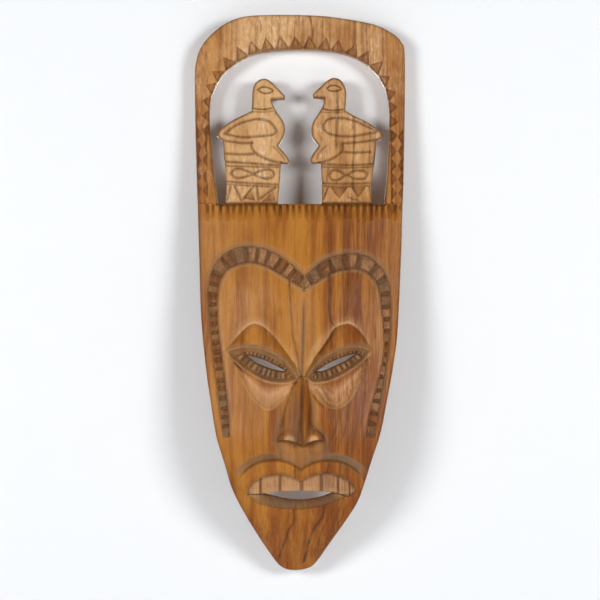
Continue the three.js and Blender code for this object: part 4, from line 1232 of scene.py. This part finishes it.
class Shader:
    """A material's nodes, made by short calls."""

    def __init__(self, name):
        self.material = bpy.data.materials.new(name)
        self.material.use_nodes = True
        self.nodes = self.material.node_tree.nodes
        self.links = self.material.node_tree.links
        self.nodes.clear()
        self.output = self.nodes.new("ShaderNodeOutputMaterial")

    def put(self, socket, value):
        if isinstance(value, bpy.types.NodeSocket):
            self.links.new(value, socket)
        else:
            socket.default_value = value

    def pair(self, kind, operation, a, b):
        """A node that works on two inputs."""
        node = self.nodes.new(kind)
        node.operation = operation
        self.put(node.inputs[0], a)
        self.put(node.inputs[1], b)
        return node.outputs[0]

    def times(self, a, b):
        return self.pair("ShaderNodeMath", "MULTIPLY", a, b)

    def plus(self, a, b):
        return self.pair("ShaderNodeMath", "ADD", a, b)

    def larger(self, a, b):
        return self.pair("ShaderNodeMath", "MAXIMUM", a, b)

    def scaled(self, vector, *scales):
        return self.pair("ShaderNodeVectorMath", "MULTIPLY", vector, scales)

    def added(self, a, b):
        return self.pair("ShaderNodeVectorMath", "ADD", a, b)

    def mix(self, factor, a, b):
        node = self.nodes.new("ShaderNodeMix")
        node.data_type = "RGBA"
        self.put(node.inputs["Factor"], factor)
        self.put(node.inputs[6], a)
        self.put(node.inputs[7], b)
        return node.outputs[2]

    def ramp(self, value, low, high, to_low=0.0, to_high=1.0):
        node = self.nodes.new("ShaderNodeMapRange")
        node.interpolation_type = "SMOOTHSTEP"
        for k, item in enumerate((value, low, high, to_low, to_high)):
            self.put(node.inputs[k], item)
        return node.outputs[0]

    def noise(self, vector, detail=3.0, rough=0.55):
        node = self.nodes.new("ShaderNodeTexNoise")
        self.put(node.inputs["Vector"], vector)
        node.inputs["Scale"].default_value = 1.0
        node.inputs["Detail"].default_value = detail
        node.inputs["Roughness"].default_value = rough
        return node.outputs[0], node.outputs[1]

    def channels(self, title):
        node = self.nodes.new("ShaderNodeAttribute")
        node.attribute_name = title
        split = self.nodes.new("ShaderNodeSeparateColor")
        self.links.new(node.outputs["Color"], split.inputs[0])
        return split.outputs[0], split.outputs[1], split.outputs[2]


def wood(name, roughness, fleck):
    """Oiled hardwood with upright grain, dusty in its recesses and rubbed on its edges, with painted
    shade in its hollows and painted highlights on its ridges and lit slopes.
    """
    s = Shader(name)
    place_in = s.nodes.new("ShaderNodeTexCoord").outputs["Object"]
    dust, dark, worn = s.channels("marks")
    streak, pale_wood_and_highlight, pink = s.channels("figure")
    russet = s.channels("tones")[0]
    sway = s.noise(s.scaled(place_in, 22, 22, 16), 1.5)[1]
    bent = s.added(place_in, s.scaled(sway, 0.006, 0.006, 0.0))
    broad = s.noise(s.scaled(bent, 75, 30, 6))[0]
    bands = s.noise(s.scaled(bent, 240, 60, 7), 3, 0.6)[0]
    stripes = s.noise(s.scaled(bent, 560, 140, 9), 2, 0.6)[0]
    fibre = s.noise(s.scaled(bent, 1000, 300, 36), 3, 0.65)[0]
    pores = s.noise(s.scaled(bent, 1500, 500, 120), 2, 0.5)[0]
    mottle = s.noise(s.scaled(place_in, 640, 400, 240), 3, 0.7)[0]
    blotch = s.noise(s.scaled(place_in, 60, 40, 34))[0]
    tone = s.plus(russet, s.ramp(broad, 0.3, 0.7, -0.34, 0.36))
    tone = s.plus(tone, s.ramp(bands, 0.35, 0.68, -0.26, 0.34))
    tone = s.ramp(tone, -0.1, 1.1)
    body = s.mix(tone, GOLDEN, RUSSET)
    patchy = s.plus(s.ramp(stripes, 0.34, 0.7, 0, 0.5), s.ramp(blotch, 0.42, 0.68, 0, 0.6))
    patchy = s.times(patchy, s.ramp(russet, 0.0, 0.25, 0.5, 1.0))
    body = s.mix(s.times(pale_wood_and_highlight, 0.9), body, s.mix(patchy, PALE, TAN))
    lines = s.larger(s.ramp(bands, 0.55, 0.7, 0, 0.6), s.ramp(stripes, 0.54, 0.7, 0, 0.55))
    figured = s.ramp(russet, 0.15, 0.8, 0.3, 1.0)
    chalky = s.times(s.ramp(mottle, 0.5, 0.3), s.ramp(blotch, 0.52, 0.34, 0, 0.85))
    for share, tint in (
            # pinkish wood, and pinkish painted highlights
            (s.times(pink, 0.8), PINK_AND_HIGHLIGHT),
            (s.ramp(blotch, 0.5, 0.75, 0, 0.3), RUSSET),
            (s.times(lines, figured), STREAK),
            (s.times(s.ramp(stripes, 0.46, 0.3, 0, 0.4), figured), GOLDEN),
            (s.times(s.ramp(fibre, 0.42, 0.75, 0, 0.6), figured), RUSSET),
            (s.times(s.ramp(pores, 0.58, 0.74, 0, 0.5), figured), STREAK),
            (s.times(streak, s.ramp(fibre, 0.3, 0.6, 0.6, 1.0)), HEART),
            # rubbed wood, and painted highlights
            (s.times(worn, s.ramp(blotch, 0.3, 0.7, 0.25, 0.7)), RUBBED_AND_HIGHLIGHT),
            (s.ramp(mottle, 0.5, 0.8, 0, fleck), STREAK),
            (s.times(s.ramp(mottle, 0.5, 0.2, 0, fleck), s.ramp(pale_wood_and_highlight, 0, 0.5, 0.35, 1)), RUBBED_AND_HIGHLIGHT),
            (s.times(chalky, pale_wood_and_highlight), CHALKY),
            (s.times(dust, s.ramp(blotch, 0.25, 0.65, 0.35, 0.8)), DUST),
            # painted shade, and dark wood such as a knot
            (s.times(dark, s.ramp(mottle, 0.3, 0.7, 0.75, 1.0)), SHADE_AND_DARK_WOOD_BROWN)):
        body = s.mix(share, body, tint)
    bsdf = s.nodes.new("ShaderNodeBsdfPrincipled")
    s.put(bsdf.inputs["Base Color"], body)
    rough = s.plus(s.ramp(fibre, 0.3, 0.7, roughness - 0.05, roughness + 0.09), s.times(dust, 0.3))
    s.put(bsdf.inputs["Roughness"], rough)
    bsdf.inputs["Specular IOR Level"].default_value = 0.24
    grain = s.plus(fibre, s.times(pores, -0.8))
    grain = s.plus(grain, s.times(mottle, 0.8))
    bump = s.nodes.new("ShaderNodeBump")
    bump.inputs["Strength"].default_value = 0.35
    bump.inputs["Distance"].default_value = 0.0006
    s.put(bump.inputs["Height"], grain)
    s.put(bsdf.inputs["Normal"], bump.outputs[0])
    s.links.new(bsdf.outputs[0], s.output.inputs[0])
    return s.material


PALE_ZONES = ZONES[:ZONES.index("crown_panel")]
DUSTY_ZONES = ["bead_band_left", "bead_band_right", "eye_left", "eye_right", "teeth", "lower_lip"]
POLISHED_ZONES = [name for name in ZONES if name not in PALE_ZONES + DUSTY_ZONES]
for slot, zones, roughness, fleck in (("pale_wood", PALE_ZONES, 0.55, 0.55),
                                      ("polished_wood", POLISHED_ZONES, 0.4, 0.14),
                                      ("dusty_wood", DUSTY_ZONES, 0.6, 0.5)):
    finish = wood(slot, roughness, fleck)
    for name in zones:
        carved = piece(name)
        carved.data.materials.append(finish)
        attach(carved, "root")
        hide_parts(name)


# ---- the pale surroundings, the lights and the camera ----
def plane(name, corners, material):
    mesh = bpy.data.meshes.new(name)
    mesh.from_pydata(corners, [], [(0, 1, 2, 3)])
    mesh.materials.append(material)
    obj = bpy.data.objects.new(name, mesh)
    bpy.context.scene.collection.objects.link(obj)
    return obj


def paper(name, see_through_back):
    s = Shader(name)
    bsdf = s.nodes.new("ShaderNodeBsdfDiffuse")
    bsdf.inputs["Color"].default_value = (0.885, 0.9, 0.915, 1)
    if see_through_back:
        clear = s.nodes.new("ShaderNodeBsdfTransparent")
        side = s.nodes.new("ShaderNodeNewGeometry")
        choice = s.nodes.new("ShaderNodeMixShader")
        s.links.new(side.outputs["Backfacing"], choice.inputs[0])
        s.links.new(bsdf.outputs[0], choice.inputs[1])
        s.links.new(clear.outputs[0], choice.inputs[2])
        s.links.new(choice.outputs[0], s.output.inputs[0])
    else:
        s.links.new(bsdf.outputs[0], s.output.inputs[0])
    return s.material


WIDE = 1.5          # of the wall and floor, to each side
BEHIND = 0.0006     # the wall is this far behind the mask's back
VIEW_HEIGHT = LOW_Z + 0.1434
FLOOR = LOW_Z - 0.16
wall = plane("wall", [(-WIDE, WALL_Y + BEHIND, FLOOR), (WIDE, WALL_Y + BEHIND, FLOOR),
                      (WIDE, WALL_Y + BEHIND, FLOOR + 2), (-WIDE, WALL_Y + BEHIND, FLOOR + 2)],
             paper("wall_paper", True))
wall.visible_shadow = False
plane("floor", [(-WIDE, -2, FLOOR), (WIDE, -2, FLOOR), (WIDE, 2, FLOOR), (-WIDE, 2, FLOOR)],
      paper("floor_paper", False))


def lamp(name, where, aim, size, power, high=None, bounces=None):
    light = bpy.data.lights.new(name, "AREA")
    light.shape = "ELLIPSE"
    light.size = size
    light.size_y = high or size
    light.energy = power
    if bounces is not None:
        light.cycles.max_bounces = bounces
    obj = bpy.data.objects.new(name, light)
    obj.location = where
    obj.rotation_euler = (Vector(aim) - Vector(where)).to_track_quat("-Z", "Y").to_euler()
    bpy.context.scene.collection.objects.link(obj)
    return obj


middle = (0, 0, VIEW_HEIGHT)
for side, word in ((-1, "left"), (1, "right")):
    lamp("lamp_" + word, (side * 0.72, -0.94, VIEW_HEIGHT + 0.17), middle, 0.46, 7.25, high=0.34)
    lamp("back_lamp_" + word, (side * 0.3, 1.5, VIEW_HEIGHT), middle, 0.3, 8.5, bounces=0)
# Small lamps on the wall behind the eyes, the mouth and the narrow gaps beside the birds.
for name, x, h, z, size, high, power in (("glow_eyes", 0, 16, 109, 0.05, 0.05, 0.0016),
                                         ("glow_mouth", 0, 16, 42, 0.03, 0.03, 0.0006),
                                         ("glow_left", -37.6, 4, 220, 0.002, 0.018, 0.0003),
                                         ("glow_right", 37, 4, 219, 0.002, 0.018, 0.0003)):
    at = Vector((x * MM, WALL_Y - h * MM, LOW_Z + z * MM))
    glow = lamp(name, at, at + Vector((0, 1, 0)), size, power, high, bounces=0)
    glow.visible_camera = False
world = bpy.data.worlds.new("room")
world.use_nodes = True
world.node_tree.nodes["Background"].inputs["Color"].default_value = (0.96, 0.98, 1.0, 1)
world.node_tree.nodes["Background"].inputs["Strength"].default_value = 0.04
bpy.context.scene.world = world
bpy.context.scene.view_settings.view_transform = "Standard"

VIEW_DISTANCE = 1.2     # from the wall
VIEW_WIDTH = 0.3216     # of the wall in the frame
camera = bpy.data.cameras.new("camera")
camera.lens = camera.sensor_width * VIEW_DISTANCE / VIEW_WIDTH
viewer = bpy.data.objects.new("camera", camera)
viewer.location = (0, WALL_Y - VIEW_DISTANCE, VIEW_HEIGHT)
viewer.rotation_euler = (math.pi / 2, 0, 0)
bpy.context.scene.collection.objects.link(viewer)
bpy.context.scene.camera = viewer
